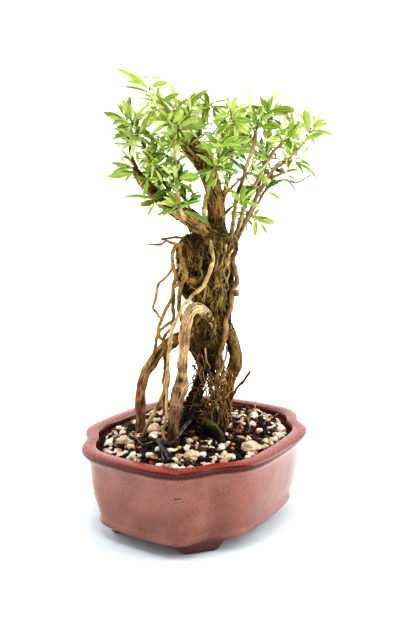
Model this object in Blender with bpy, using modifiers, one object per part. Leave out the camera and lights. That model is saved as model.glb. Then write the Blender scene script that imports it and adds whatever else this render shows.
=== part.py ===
"""Serissa bonsai with lifted, exposed roots, planted in a glazed lobed pot.

Metres, +Z up. The pot's long axis lies along X, and the origin is on the floor under the pot's middle.
The tree is laid out in millimetres as seen from its front, which faces one corner of the pot:
ACROSS runs to the viewer's right, DEPTH away from the viewer and UP from the floor.
"""

import math
import random

import bmesh
import bpy
from mathutils import Matrix, Vector, noise
from mathutils.bvhtree import BVHTree

MM = 0.001
GAP = 0.3                       # mm left between pieces that touch

# The tree's front is turned this far from the pot's long axis.
FRONT_TURN = math.radians(57.8)

# Pot, mm: a six-inch lobed oval on four corner feet.
LIP_HALF_LENGTH = 73.3
LIP_HALF_WIDTH = 61.8
LIP_BULGE = 2.7
FLAT_ALONG = 37.5
FLAT_ACROSS = 31.5
RIM_TOP = 58.0
FLOOR_TOP = 17.2
BODY_BOTTOM = 11.0
# Heights are laid out from a datum under the feet; the finished parts are lowered onto the floor.
DATUM_UNDER_FEET = 2.3
# Each ring of the pot: inset from the lip, depth of the corner notch, height.
POT_OUTSIDE = [
    (11.6, 2.4, BODY_BOTTOM), (10.2, 2.4, 12.2), (10.2, 2.4, 14.6), (10.9, 2.4, 15.8), (9.3, 2.3, 21.0),
    (7.5, 2.1, 27.5), (6.2, 1.9, 35.0), (5.5, 1.5, 42.0), (5.3, 1.3, 46.5), (4.9, 1.2, 49.0),
    (4.0, 1.2, 51.0), (2.3, 1.1, 53.2), (0.7, 1.1, 55.2), (0.0, 1.0, 56.4), (0.3, 0.9, 57.4),
    (1.2, 0.8, RIM_TOP),
]
POT_INSIDE = [
    (9.0, -0.6, RIM_TOP), (10.0, -0.9, 57.0), (10.7, -0.6, 51.0), (12.6, 0.3, 35.0), (15.4, 1.0, 19.4),
    (18.6, 1.5, FLOOR_TOP),
]
FOOT_PLACE = (43.6, 29.5)
FOOT_TOP = 12.6
FOOT_LENGTHS = (22.0, 40.0)
FOOT_WIDTHS = (9.0, 13.0)
HOLE_PLACE = 27.0
HOLE_RADIUS = 7.5

# Drainage screens and their wire clips, mm.
SCREEN_SIDE = 28.0
SCREEN_CELLS = 9
SCREEN_THICKNESS = 1.2
CLIP_WIRE = 0.6
ANCHOR_WIRE = 1.1

# Soil, mm: height at the wall and rise to the middle.
SOIL_EDGE = 52.0
SOIL_RISE = 10.0
SOIL_STEPS = (0.84, 0.6, 0.32)

# Wood that grew as one piece, as paths of (across, depth, up, radius).
TRUNK = {
    "bole": [(7, 4, 97, 6), (7, 1, 109, 8.5), (8, 0, 122, 10.5), (10, 0, 136, 11.5), (10, 0, 150, 12),
             (10, 0, 164, 13), (11, 0, 174, 13.5), (12, 0, 182, 11), (12, 1, 187, 7)],
    "burl": [(2, -3, 178, 6), (-4, -4, 172, 6.5), (-5, -3, 163, 6), (-5, -3, 153, 5.5), (-2, -2, 142, 5)],
    "front_rib": [(14, -10, 172, 4), (12, -11, 158, 3.5), (9, -10, 142, 3.6), (6, -8, 126, 3.4),
                  (5, -5, 108, 3)],
    "right_rib": [(21, -4, 172, 4), (19, -6, 156, 4), (16, -7, 140, 4), (14, -6, 124, 3.8),
                  (12, -4, 110, 3)],
    "back_rib": [(12, 9, 174, 5), (12, 10, 156, 5), (11, 9, 138, 5), (9, 8, 120, 4.5), (8, 7, 104, 3)],
    "left_branch": [(10, 0, 174, 6.5), (4, -2, 183, 5.6), (-2, -3, 189, 5), (-8, -3, 193, 4.4),
                    (-16, -3, 198, 3.9), (-24, -3, 205, 3.9), (-31, -3, 212, 3.5), (-35, -3, 217, 3)],
    "left_stub": [(6, -7, 183, 4), (0, -10, 189, 4.2), (-6, -12, 195, 3.8)],
    "central_branch": [(12, 2, 176, 6), (12, 2, 187, 5.5), (12, 2, 198, 5.2), (10, 2, 210, 5),
                       (6, 2, 221, 4.9),
                       (1, 2, 229, 4.7), (-4, 2, 235, 4.8), (-8, 2, 240, 4.1)],
}
ROOTS = {
    "arch_root": [(10, -7, 118, 2.6), (8, -13, 130, 2.9), (3, -18, 137.5, 3.2), (-2, -21, 138, 3.4),
                  (-6, -24, 131, 3.2), (-7, -26, 120, 3.2), (-8, -28, 108, 3.2), (-9, -30, 98, 3.5),
                  (-10, -31, 89, 3.9), (-12, -33, 79, 4.1), (-13, -35, 69, 3.8), (-15, -37, 57, 3.4),
                  (-15, -38, 47, 2.6)],
    "left_leg": [(2, 4, 117, 4), (-11, 2, 117, 3.3), (-20, 0, 112, 3.3), (-26, -2, 104, 3.5),
                 (-31, -4, 95, 3.8),
                 (-34, -6, 86, 3.2), (-35, -8, 76, 3.3), (-35, -9, 65, 3.2), (-36, -10, 55, 2.8),
                 (-36, -10, 46, 2.2)],
    "right_leg": [(14, 4, 130, 4.2), (20, 8, 118, 4), (24.5, 10, 107, 4.3), (25, 12, 96, 4.1),
                  (21.5, 14, 86, 3.7),
                  (20, 16, 78, 3.5), (19, 18, 68, 3.6), (19, 20, 56, 3.3), (19, 20, 47, 2.6)],
    "right_root": [(20, -4, 168, 1.8), (24.5, -8, 158, 1.7), (22, -9, 148, 1.7), (22.5, -9.5, 139, 1.7),
                   (19, -9.5, 130, 1.8), (18, -9, 121, 1.8), (16, -8, 112, 1.8), (15, -6, 102, 1.6),
                   (13, -4, 93, 1.6), (13, -2, 84, 1.6), (15, 0, 74, 1.6), (16, 2, 64, 1.4),
                   (16, 3, 50, 1.2)],
    "pale_root": [(9, -11, 178, 1.7), (10, -16, 167, 1.7), (7, -17.5, 157, 1.6), (4, -18.5, 151, 1.6),
                  (-1, -21, 147, 1.6), (-6, -24, 142, 1.5), (-9, -27, 137, 1.5), (-13, -30, 130, 1.4),
                  (-15, -31, 121, 1.4), (-16, -31, 110, 1.3), (-17, -30, 100, 1.3), (-19, -28, 90, 1.3),
                  (-23, -26, 80, 1.3), (-28, -24, 70, 1.2), (-33, -22, 60, 1.1), (-34, -22, 49, 0.9)],
    "pale_branch": [(-16, -30.5, 102, 1.1), (-17, -32, 91, 1), (-17, -34, 79, 1), (-19, -37, 67, 1),
                    (-20, -39, 48, 0.8)],
    "loop_root": [(-4, -5, 176, 1.6), (-12, -9, 175, 1.3), (-14.5, -10, 168, 1.2), (-13, -10, 158, 1.2),
                  (-14, -9, 148, 1.2), (-14, -8, 137, 1.1), (-15, -6, 126, 1.1), (-20, -4, 118, 1),
                  (-22, -2, 108, 1)],
    "outer_root": [(-13.5, -8.5, 145, 1.2), (-19, -9, 137, 1.2), (-23, -9, 128, 1.2), (-25, -8, 118, 1.2),
                   (-27, -5, 108, 1.2), (-28, -3, 99, 1)],
    "left_tendril": [(-10, -9, 175, 1.1), (-17, -14, 177.5, 0.8), (-22, -18, 176, 0.8),
                     (-28, -20, 176, 0.7)],
    "high_tendril": [(-1, -5, 176, 1.2), (-7, -6, 179.5, 0.8), (-14, -8, 179.5, 0.8),
                     (-21, -10, 178.5, 0.7)],
    "hanging_root": [(-7, -6, 172, 1.6), (-9, -10, 165, 1.5), (-7, -11, 157, 1.6), (-9.5, -11, 150, 1.5),
                     (-10.5, -10, 140, 1.3), (-9, -6, 128, 1.2), (-4, -2, 119, 1.2)],
    "knot": [(-1, -7, 153, 2.4), (-2, -12, 153, 2.4)],
    "cut_stub": [(17, -2, 148, 1.6), (23, -4, 145.5, 1.9), (26, -5, 145.5, 1.9)],
    "inner_root": [(-8, 2, 116, 1.8), (-19, 3, 106, 1.4), (-20, 5, 95, 1.4), (-21, 6, 84, 1.4),
                   (-21, 8, 72, 1.3),
                   (-21, 9, 50, 1.1)],
    "earth_column": [(6, 0, 102, 5), (4, -4, 92, 6.5), (4, -8, 80, 7), (3, -11, 68, 8), (3, -13, 56, 10),
                     (3, -13, 48, 10)],
    "mossy_root": [(4, -12, 71, 4), (9, -22, 69, 3.8), (14, -29, 65, 3.4), (15, -33, 57, 3),
                   (15, -34, 50, 2.4)],
    "dead_twig": [(20, 16, 68, 1.2), (25, 12, 79, 0.8), (30, 8, 87, 0.8), (34, 4, 94, 0.7)],
    "fine_root_a": [(2, 3, 106, 1.4), (4, 7, 92, 0.9), (1, 10, 78, 0.9), (4, 14, 62, 0.9), (4, 15, 50, 0.7)],
    "fine_root_b": [(8, 3, 104, 1.4), (11, 5, 92, 0.9), (9, 7, 80, 0.9), (12, 12, 66, 0.9),
                    (12, 13, 50, 0.7)],
    "fine_root_c": [(12, 0, 110, 1.4), (11, 1, 98, 1), (9, -1, 86, 0.9), (14, 4, 74, 0.9), (20, 6, 62, 0.8),
                    (20, 6, 50, 0.7)],
}
FEET_IN_SOIL = ("arch_root", "left_leg", "right_leg", "right_root", "pale_root", "pale_branch", "inner_root",
                "earth_column", "mossy_root", "fine_root_a", "fine_root_b", "fine_root_c")

# Shoots that stand on the wood, each a list of paths: the shoot and the twigs it bears.
SHOOTS = {
    "front_left_shoot": [
        [(-6, -12, 190, 1.7), (-9, -15, 197, 1.6), (-11, -16, 208, 1.5), (-12, -18, 220, 1.4),
         (-12, -20, 232, 1.3),
         (-13, -20, 242, 1.3), (-13, -20, 249, 1.1)],
        [(-13, -20, 246, 1.1), (-18, -22, 252, 0.9), (-22, -24, 257, 0.9), (-25, -26, 262, 0.8)],
        [(-13, -20, 247, 1.1), (-12, -17, 251, 0.9), (-11, -14, 253, 0.9)]],
    "front_pale_shoot": [
        [(6, -9, 186, 1.8), (5, -14, 196, 1.6), (7, -18, 207, 1.5), (10, -21, 216, 1.4), (13, -25, 225, 1.2),
         (15, -27, 231, 1.1), (17, -29, 238, 1), (20, -31, 246, 0.9)]],
    "right_shoot_a": [
        [(20, -4, 174, 1.8), (22, -7, 186, 1.7), (23, -9, 197, 1.6), (25, -10, 206, 1.5),
         (28, -12, 215, 1.5),
         (31, -13, 225, 1.4), (34, -14, 234, 1.4), (35, -14, 241, 1.3)]],
    "right_shoot_b": [
        [(22, 1, 174, 1.8), (25, 1, 184, 1.5), (29, -2, 197, 1.5), (35, -6, 210, 1.4), (40, -9, 220, 1.4),
         (45, -12, 229, 1.3), (52, -17, 236, 1)]],
    "right_shoot_c": [
        [(23, 7, 174, 2), (29, 8, 185, 1.7), (34, 7, 197, 1.6), (39, 6, 207, 1.6), (44, 5, 216, 1.6),
         (49, 4, 222, 1.3),
         (58, 4, 226, 0.9)],
        [(48, 4, 221, 1.2), (55, 5, 226, 0.9), (62, 5, 232, 0.9), (69, 5, 241, 0.8)],
        [(44, 5, 215, 1.2), (49, 3, 217, 0.9), (53, 2, 218, 0.8)],
        [(33, 7, 194, 1.3), (37, 11, 205, 1.2), (40, 12, 216, 1.2), (43, 12, 228, 1.1), (44, 10, 240, 1),
         (44, 6, 251, 0.9)],
        [(43, 12, 232, 1), (49, 10, 240, 0.9), (56, 5, 246, 0.8)]],
    "right_shoot_d": [
        [(21, 11, 172, 1.6), (28, 13, 183, 1.4), (34, 14, 193, 1.3), (40, 13, 203, 1.2), (46, 10, 211, 1),
         (54, 9, 214, 0.8), (63, 8, 213, 0.8), (70, 6, 217, 0.7)]],
    "middle_shoot": [
        [(15, 8, 188, 1.3), (17, 11, 202, 1.1), (20, 14, 214, 1.1), (22, 16, 224, 1), (23, 18, 232, 0.9)]],
    "left_shoot_a": [
        [(-33, -3, 214, 1.5), (-37, -6, 224, 1.3), (-39, -8, 231, 1.2), (-40, -10, 238, 1.1),
         (-40, -12, 244, 0.9)]],
    "left_shoot_b": [
        [(-29, -4, 210, 1.3), (-28, -9, 219, 1.1), (-28, -12, 226, 1.1), (-30, -14, 232, 0.9),
         (-32, -16, 236, 0.9)]],
    "left_shoot_c": [
        [(-11, -6, 194, 1.3), (-14, -12, 203, 1.1), (-18, -16, 211, 1), (-22, -18, 218, 0.9),
         (-25, -16, 226, 0.8)]],
    "crest_shoot": [
        [(-2, 2, 234, 1.8), (1, 4, 241, 1.4), (4, 5, 248, 1.2), (8, 6, 257, 1)],
        [(2, 4, 243, 1.2), (-2, 3, 249, 1), (-6, 2, 254, 0.9)]],
    "back_left_shoot": [
        [(2, 6, 180, 1.6), (-4, 14, 194, 1.3), (-9, 22, 208, 1.2), (-13, 28, 221, 1.1), (-15, 32, 234, 0.9)],
        [(-7, 19, 203, 1.1), (-16, 24, 210, 0.9), (-24, 28, 216, 0.8)]],
    "back_right_shoot": [
        [(14, 9, 182, 1.6), (16, 17, 196, 1.3), (18, 25, 210, 1.2), (21, 31, 224, 1.1), (24, 36, 238, 0.9)],
        [(17, 22, 204, 1.1), (24, 27, 212, 0.9), (32, 30, 219, 0.8)]],
}

# Tufts of leaves: where each sits (across, depth, up) and its leaves as (heading in degrees, length).
TUFTS = {
    "top_left": ((-26, -26, 263), [(145, 21), (165, 14), (30, 14), (110, 10)]),
    "top_left_low": ((-21, -24, 256), [(100, 9), (35, 15), (300, 8)]),
    "crest_left": ((-11, -14, 254), [(100, 20), (135, 12), (40, 11), (195, 11)]),
    "crest_mid": ((-7, 2, 255), [(10, 16), (125, 13), (65, 13), (50, 22), (340, 11)]),
    "crest_peak": ((8, 6, 259), [(135, 17), (115, 11), (180, 9), (15, 14), (325, 11)]),
    "left_tip": ((-40, -12, 246), [(145, 13), (115, 9), (40, 15), (10, 8)]),
    "left_outer": ((-41, -8, 236), [(145, 17), (120, 14), (70, 9)]),
    "left_low": ((-37, -3, 221), [(160, 16), (180, 15), (195, 18), (225, 11), (125, 9)]),
    "left_inner": ((-32, -17, 238), [(20, 14), (165, 8), (345, 11), (310, 10)]),
    "left_nest": ((-27, -17, 228), [(35, 10), (0, 13), (310, 9), (155, 8), (225, 8)]),
    "left_shelf": ((-23, -18, 220), [(15, 15), (300, 8), (325, 11), (140, 9)]),
    "v_top": ((-14, -21, 246), [(145, 15), (165, 16), (200, 11), (60, 10)]),
    "v_side": ((-10, -21, 243), [(310, 12), (10, 19), (30, 13), (225, 10)]),
    "v_pair": ((-10, -19, 214), [(325, 12), (5, 13), (55, 9), (205, 7)]),
    "fork": ((-8, -17, 197), [(160, 18), (185, 15), (25, 13), (335, 18), (50, 12)]),
    "left_lone": ((-26, -1, 202), [(170, 22), (260, 8), (315, 8)]),
    "pale_tip": ((20, -32, 248), [(135, 11), (200, 11), (350, 12), (75, 10)]),
    "pale_middle": ((15, -28, 231), [(5, 13), (140, 11), (235, 9)]),
    "pale_low": ((11, -22, 221), [(5, 20), (325, 13), (140, 13), (190, 13), (235, 10)]),
    "right_a_tip": ((35, -14, 243), [(110, 25), (70, 12), (130, 11), (165, 13)]),
    "right_crown": ((44, 5, 254), [(100, 12), (75, 10), (5, 18), (120, 11), (165, 12)]),
    "broad_leaves": ((41, 12, 226), [(100, 16), (60, 14), (135, 11), (290, 10)]),
    "right_b_tip": ((54, -18, 237), [(345, 10), (175, 8), (95, 9), (230, 8)]),
    "yellow_tip": ((57, 4, 247), [(15, 11), (330, 10), (95, 8)]),
    "right_end": ((70, 5, 243), [(125, 14), (340, 14), (65, 8), (290, 7)]),
    "right_c_tip": ((60, 4, 227), [(350, 11), (335, 17), (305, 12), (125, 12)]),
    "right_c_low": ((54, 2, 218), [(345, 8), (310, 14), (195, 10)]),
    "right_d_leaf": ((43, 13, 209), [(335, 11), (60, 8), (165, 8)]),
    "right_base": ((35, 16, 192), [(340, 19), (85, 8), (135, 9)]),
    "right_a_middle": ((26, -11, 200), [(70, 11), (130, 10), (85, 16)]),
    "middle_tip": ((23, 18, 234), [(115, 11), (40, 10), (330, 9), (230, 9)]),
    "back_left_tip": ((-15, 33, 236), [(100, 16), (150, 15), (40, 15), (10, 13), (200, 12)]),
    "back_left_end": ((-25, 29, 217), [(160, 16), (110, 13), (200, 12), (60, 12)]),
    "back_right_tip": ((24, 37, 240), [(80, 16), (130, 14), (30, 15), (350, 14), (170, 12)]),
    "back_right_end": ((33, 31, 220), [(20, 15), (340, 14), (70, 13), (120, 11)]),
}
BUD_RADIUS = 1.2
LEAF_THICKNESS = 0.9
LEAF_WIDTH_SHARE = 0.26
LEAF_WIDTHS = (2.6, 5.0)
LEAF_DROOP = 0.12

# Pumice nuggets that lie on the soil: across, depth and size.
NUGGETS = [(-27, -14, 4.6), (-2, -50, 4.2), (32, -34, 4.8), (-44, -24, 4.0)]


def material(name, colour, roughness, metallic=0.0):
    """A plain Principled finish."""
    finish = bpy.data.materials.new(name)
    finish.use_nodes = True
    shader = finish.node_tree.nodes["Principled BSDF"]
    shader.inputs["Base Color"].default_value = (*colour, 1.0)
    shader.inputs["Roughness"].default_value = roughness
    shader.inputs["Metallic"].default_value = metallic
    return finish


def fresh_collection(name):
    collection = bpy.data.collections.new(name)
    bpy.context.scene.collection.children.link(collection)
    return collection


def add_part(name, mesh, finish, sharp=40):
    """One named sub-part with its finish, shaded smooth except at sharp edges."""
    mesh.name = name
    mesh.materials.clear()
    mesh.materials.append(finish)
    mesh.shade_smooth()
    mesh.set_sharp_from_angle(angle=math.radians(sharp))
    part = bpy.data.objects.new(name, mesh)
    PARTS.objects.link(part)
    return part


def add_cutter(name, mesh):
    """A body that only cuts or joins others."""
    cutter = bpy.data.objects.new(name, mesh)
    CUTTERS.objects.link(cutter)
    cutter.hide_render = True
    cutter.display_type = "WIRE"
    return cutter


def combine(part, other, operation, crossing=False):
    """Cut or join a part with another body; crossing is for a body whose shells run through each other."""
    boolean = part.modifiers.new(f"{operation.lower()} {other.name}", "BOOLEAN")
    boolean.operation = operation
    boolean.solver = "EXACT"
    boolean.use_self = crossing
    boolean.object = other


def evaluated_mesh(obj):
    """The mesh that an object's curve and modifiers give."""
    bpy.context.view_layer.update()
    return bpy.data.meshes.new_from_object(obj.evaluated_get(bpy.context.evaluated_depsgraph_get()))


def apply_modifiers(part):
    """Put a part's joined shape in its own mesh, and drop the bodies that shaped it."""
    others = [modifier.object for modifier in part.modifiers]
    mesh = evaluated_mesh(part)
    part.modifiers.clear()
    part.data = mesh
    for other in others:
        bpy.data.objects.remove(other)


def tree_point(across, depth, up):
    """A place in the tree's own millimetre grid, in metres in the pot's frame."""
    turn_x, turn_y = math.cos(FRONT_TURN), math.sin(FRONT_TURN)
    return Vector((across * turn_x + depth * turn_y, depth * turn_x - across * turn_y, up)) * MM


def mesh_of(bm, name):
    """Hand a bmesh over to a new mesh, with its faces pointing out."""
    bmesh.ops.recalc_face_normals(bm, faces=bm.faces)
    mesh = bpy.data.meshes.new(name)
    bm.to_mesh(mesh)
    bm.free()
    return mesh


def tube_mesh(name, path, sides, steps, grow=0.0):
    """A round tube with flat ends through (point in metres, radius in mm); grow thickens it all round."""
    points = [point.copy() for point, _ in path]
    points[0] += (points[0] - points[1]).normalized() * grow * MM
    points[-1] += (points[-1] - points[-2]).normalized() * grow * MM
    curve = bpy.data.curves.new(name, "CURVE")
    curve.dimensions = "3D"
    curve.bevel_depth = MM
    curve.bevel_resolution = sides // 2 - 2
    curve.use_fill_caps = True
    curve.resolution_u = steps
    spline = curve.splines.new("BEZIER")
    spline.bezier_points.add(len(points) - 1)
    for knot, point, (_, radius) in zip(spline.bezier_points, points, path):
        knot.co = point
        knot.radius = radius + grow
        knot.handle_left_type = knot.handle_right_type = "AUTO"
    guide = add_cutter(name, curve)
    mesh = evaluated_mesh(guide)
    bpy.data.objects.remove(guide)
    bm = bmesh.new()
    bm.from_mesh(mesh)
    bmesh.ops.remove_doubles(bm, verts=bm.verts, dist=1e-6)
    return mesh_of(bm, name)


def wood_tube(name, path, grow=0.0):
    """A trunk, root or shoot along a path of (across, depth, up, radius)."""
    thickest = max(radius for *_, radius in path)
    sides = 10 if thickest > 8 else 8 if thickest > 4.5 else 6
    steps = 2 if thickest > 2 else 1
    return tube_mesh(name, [(tree_point(*place), radius) for *place, radius in path], sides, steps, grow)


def gathered(name, meshes):
    """Several meshes as the loose shells of one."""
    bm = bmesh.new()
    for mesh in meshes:
        bm.from_mesh(mesh)
    return mesh_of(bm, name)


def joined_wood(name, paths, finish):
    """The tubes along the paths grown together into one piece."""
    tubes = [wood_tube(f"{name} {i}", path) for i, path in enumerate(paths)]
    part = add_part(name, tubes[0], finish, sharp=60)
    for i, tube in enumerate(tubes[1:]):
        combine(part, add_cutter(f"{name} limb {i}", tube), "UNION")
    return part


def lobed_outline(inset, notch, height):
    """The pot's plan at one height: bulging sides and notched, cut-off corners."""
    half_x, half_y = LIP_HALF_LENGTH - inset, LIP_HALF_WIDTH - inset
    flat_x, flat_y = FLAT_ALONG - 0.5 * inset, FLAT_ACROSS - 0.43 * inset
    bulge = LIP_BULGE - 0.14 * inset
    outward = Vector((half_y - flat_y, half_x - flat_x)).normalized()
    corner = Vector((half_x + flat_x, half_y + flat_y)) / 2 - notch * outward
    quarter = [Vector(p) for p in (
        (half_x + bulge, 0), (half_x + 0.6 * bulge, 0.6 * flat_y), (half_x, flat_y), corner,
        (flat_x, half_y), (0.6 * flat_x, half_y + 0.6 * bulge), (0, half_y + bulge))]
    knots = quarter + [Vector((-p.x, p.y)) for p in quarter[-2::-1]]
    knots += [Vector((-p.x, -p.y)) for p in quarter[1:]] + [Vector((p.x, -p.y)) for p in quarter[-2:0:-1]]
    ring = []
    for i, here in enumerate(knots):
        before, after, beyond = knots[i - 1], knots[(i + 1) % len(knots)], knots[(i + 2) % len(knots)]
        middle = (9 * (here + after) - before - beyond) / 16
        ring += [here, middle]
    return [Vector((p.x, p.y, height)) * MM for p in ring]


def loft(name, rings):
    """A closed skin through equal rings of points, with a face across its first and last ring."""
    bm = bmesh.new()
    rows = [[bm.verts.new(point) for point in ring] for ring in rings]
    for lower, upper in zip(rows, rows[1:]):
        for i in range(len(lower)):
            bm.faces.new((lower[i - 1], lower[i], upper[i], upper[i - 1]))
    bm.faces.new(rows[0])
    bm.faces.new(rows[-1])
    return mesh_of(bm, name)


def box_mesh(name, low, high):
    """A box between two corners in mm."""
    bm = bmesh.new()
    size = [(b - a) * MM for a, b in zip(low, high)]
    middle = [(a + b) / 2 * MM for a, b in zip(low, high)]
    bmesh.ops.create_cube(bm, size=1, matrix=Matrix.Translation(middle) @ Matrix.Diagonal((*size, 1)))
    return mesh_of(bm, name)


def foot_mesh(side_x, side_y):
    """A tapered foot under one cut-off corner, its ends and edges rounded."""
    along = Vector((-0.762 * side_x, 0.647 * side_y, 0))
    outward = Vector((0.647 * side_x, 0.762 * side_y, 0))
    middle = Vector((FOOT_PLACE[0] * side_x, FOOT_PLACE[1] * side_y, 0))
    bm = bmesh.new()
    bmesh.ops.create_cube(bm, size=1)
    for vert in bm.verts:
        top = vert.co.z > 0
        shift = along * vert.co.x * FOOT_LENGTHS[top] + outward * vert.co.y * FOOT_WIDTHS[top]
        vert.co = (middle + shift + Vector((0, 0, FOOT_TOP if top else DATUM_UNDER_FEET))) * MM
    bmesh.ops.recalc_face_normals(bm, faces=bm.faces)
    upright = [edge for edge in bm.edges if abs(edge.verts[0].co.z - edge.verts[1].co.z) > MM]
    bmesh.ops.bevel(bm, geom=upright, offset=3 * MM, segments=3, affect="EDGES", profile=0.5)
    return mesh_of(bm, "foot")


def build_pot(finish):
    """The lobed shell with its feet grown on and two drain holes through its floor."""
    rings = [lobed_outline(*ring) for ring in POT_OUTSIDE + POT_INSIDE]
    pot = add_part("pot", loft("pot", rings), finish)
    for side_x in (-1, 1):
        for side_y in (-1, 1):
            combine(pot, add_cutter(f"foot {side_x} {side_y}", foot_mesh(side_x, side_y)), "UNION")
        bm = bmesh.new()
        middle = Matrix.Translation((side_x * HOLE_PLACE * MM, 0, BODY_BOTTOM * MM))
        bmesh.ops.create_cone(bm, cap_ends=True, segments=16, radius1=HOLE_RADIUS * MM,
                              radius2=HOLE_RADIUS * MM, depth=20 * MM, matrix=middle)
        combine(pot, add_cutter(f"drain {side_x}", mesh_of(bm, "drain")), "DIFFERENCE")
    return pot


def build_screen(name, side, finish):
    """A moulded mesh screen lying on the pot's floor over a drain hole."""
    bm = bmesh.new()
    place = Matrix.Translation((side * HOLE_PLACE * MM, 0, (FLOOR_TOP + GAP) * MM))
    bmesh.ops.create_grid(bm, x_segments=SCREEN_CELLS, y_segments=SCREEN_CELLS, size=SCREEN_SIDE / 2 * MM,
                          matrix=place)
    cell = SCREEN_SIDE / SCREEN_CELLS * MM
    openings = []
    for face in bm.faces:
        centre = place.inverted() @ face.calc_center_median()
        column = round(centre.x / cell + SCREEN_CELLS // 2)
        row = round(centre.y / cell + SCREEN_CELLS // 2)
        if column % 2 and row % 2:
            openings.append(face)
    bmesh.ops.delete(bm, geom=openings, context="FACES")
    mesh = bpy.data.meshes.new(name)
    bm.to_mesh(mesh)
    bm.free()
    screen = add_part(name, mesh, finish)
    solidify = screen.modifiers.new("thickness", "SOLIDIFY")
    solidify.thickness = SCREEN_THICKNESS * MM
    solidify.offset = 1
    return screen


def wire_part(name, points, radius, finish):
    """A bent wire through points in mm in the pot's frame."""
    path = [(Vector(point) * MM, radius) for point in points]
    return add_part(name, tube_mesh(name, path, 6, 1), finish, sharp=60)


def clip_points(side):
    """A staple over the screen whose legs pass the hole and turn out under the pot's floor."""
    cell = SCREEN_SIDE / SCREEN_CELLS
    over = FLOOR_TOP + 2 * GAP + SCREEN_THICKNESS + CLIP_WIRE
    under = BODY_BOTTOM - GAP - CLIP_WIRE
    half = [(0, over), (cell - 1.4, over), (cell - 0.2, over - 0.9), (cell, over - 2.6), (cell, 14),
            (cell, under + 2), (cell + 0.9, under + 0.4), (cell + 2.6, under), (11.5, under)]
    both = [(-x, z) for x, z in half[:0:-1]] + half
    return [(side * HOLE_PLACE + x, cell, z) for x, z in both]


def anchor_points():
    """The tree's anchor wire: under the floor, up through both holes and the soil, and twisted in front."""
    cell = SCREEN_SIDE / SCREEN_CELLS
    under = BODY_BOTTOM - GAP - ANCHOR_WIRE
    left, right = -HOLE_PLACE + cell, HOLE_PLACE - cell
    bend = 2.5

    def in_pot(across, depth, up):
        return tuple(tree_point(across, depth, up) / MM)

    twist_start, twist_end = Vector(in_pot(-17, -45, 60.5)), Vector(in_pot(-26, -46, 59.5))
    along = (twist_end - twist_start).normalized()
    sideways = along.cross(Vector((0, 0, 1))).normalized()
    upward = sideways.cross(along)

    def strand(phase):
        coil = []
        for step in range(9):
            angle = phase + step * math.pi / 3
            place = twist_start.lerp(twist_end, step / 8)
            offset = (math.cos(angle) * sideways + math.sin(angle) * upward) * (ANCHOR_WIRE + 0.2)
            coil.append(tuple(place + offset))
        return coil

    inner = [in_pot(-14, -43.5, 55), in_pot(-8, -41, 44), (left, -cell, 34), (left, -cell, 22),
             (left, -cell, under + bend), (left + bend / 4, -cell, under + bend / 4),
             (left + bend, -cell, under), (0, -cell, under),
             (right - bend, -cell, under), (right - bend / 4, -cell, under + bend / 4),
             (right, -cell, under + bend), (right, -cell, 22), (right, -cell, 34), in_pot(22, -22, 46),
             in_pot(13, -20.5, 58)]
    over_root = [in_pot(4, -26.5, 68.5), in_pot(-4, -36, 64.5), in_pot(-10, -42.5, 62.5)]
    return strand(math.pi)[::-1] + inner + over_root + strand(0)


def soil_height(share):
    """Height of the mounded soil at a share of the way from the middle to the wall."""
    return SOIL_EDGE + SOIL_RISE * (1 - share ** 2)


def soil_height_at(x, y):
    """Height of the soil at a place in mm, from its share of an even oval."""
    share = math.hypot(x / (LIP_HALF_LENGTH + LIP_BULGE - 9), y / (LIP_HALF_WIDTH + LIP_BULGE - 9))
    return soil_height(min(share, 1))


def build_soil(finish):
    """The planted soil: it fills the pot to just under the rim and mounds up to the roots."""
    wall = [(inset + GAP + 0.1, notch, height + (GAP if height < 20 else 0))
            for inset, notch, height in reversed(POT_INSIDE[2:])]
    rings = [lobed_outline(*ring) for ring in wall]
    edge = lobed_outline(10.7 + GAP + 0.1, -0.6, SOIL_EDGE)
    rings.append(edge)
    for share in SOIL_STEPS:
        ring = []
        for point in edge:
            lump = noise.noise(Vector((point.x, point.y, 0)) * share * 90) * 1.0
            ring.append(Vector((point.x * share, point.y * share, (soil_height(share) + lump) * MM)))
        rings.append(ring)
    soil = add_part("soil", loft("soil", rings), finish)
    for side, name in ((-1, "left"), (1, "right")):
        x, half, top = side * HOLE_PLACE, SCREEN_SIDE / 2 + GAP, FLOOR_TOP + SCREEN_THICKNESS + 2 * GAP
        low, high = (x - half, -half, FLOOR_TOP - 2), (x + half, half, top)
        combine(soil, add_cutter(f"{name} screen recess", box_mesh("recess", low, high)), "DIFFERENCE")
        cell = SCREEN_SIDE / SCREEN_CELLS
        low = (x - cell - 1.5, cell - 1.2, top - 1)
        high = (x + cell + 1.5, cell + 1.2, top + 2 * CLIP_WIRE + 2 * GAP)
        combine(soil, add_cutter(f"{name} clip recess", box_mesh("recess", low, high)), "DIFFERENCE")
    return soil


def nugget_mesh(place, size, seed, grow=0.0):
    """A rounded, lumpy pumice stone; grow thickens it."""
    bm = bmesh.new()
    bmesh.ops.create_icosphere(bm, subdivisions=2, radius=1)
    for vert in bm.verts:
        lump = 1 + 0.22 * noise.noise(vert.co * 1.7 + Vector((seed, 0, 0)))
        vert.co = place + Vector((vert.co.x * 1.2, vert.co.y, vert.co.z * 0.8)) * (size * lump + grow) * MM
    return mesh_of(bm, "nugget")


def build_nuggets(soil, finish):
    """The largest pumice nuggets, each sunk a little way into its own dent in the soil."""
    for i, (across, depth, size) in enumerate(NUGGETS):
        place = tree_point(across, depth, 0)
        place.z = (soil_height_at(place.x / MM, place.y / MM) + 0.4 * size) * MM
        add_part(f"pumice_nugget_{i + 1}", nugget_mesh(place, size, i), finish)
        combine(soil, add_cutter(f"dent {i}", nugget_mesh(place, size, i, grow=GAP + 0.1)), "DIFFERENCE")


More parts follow.
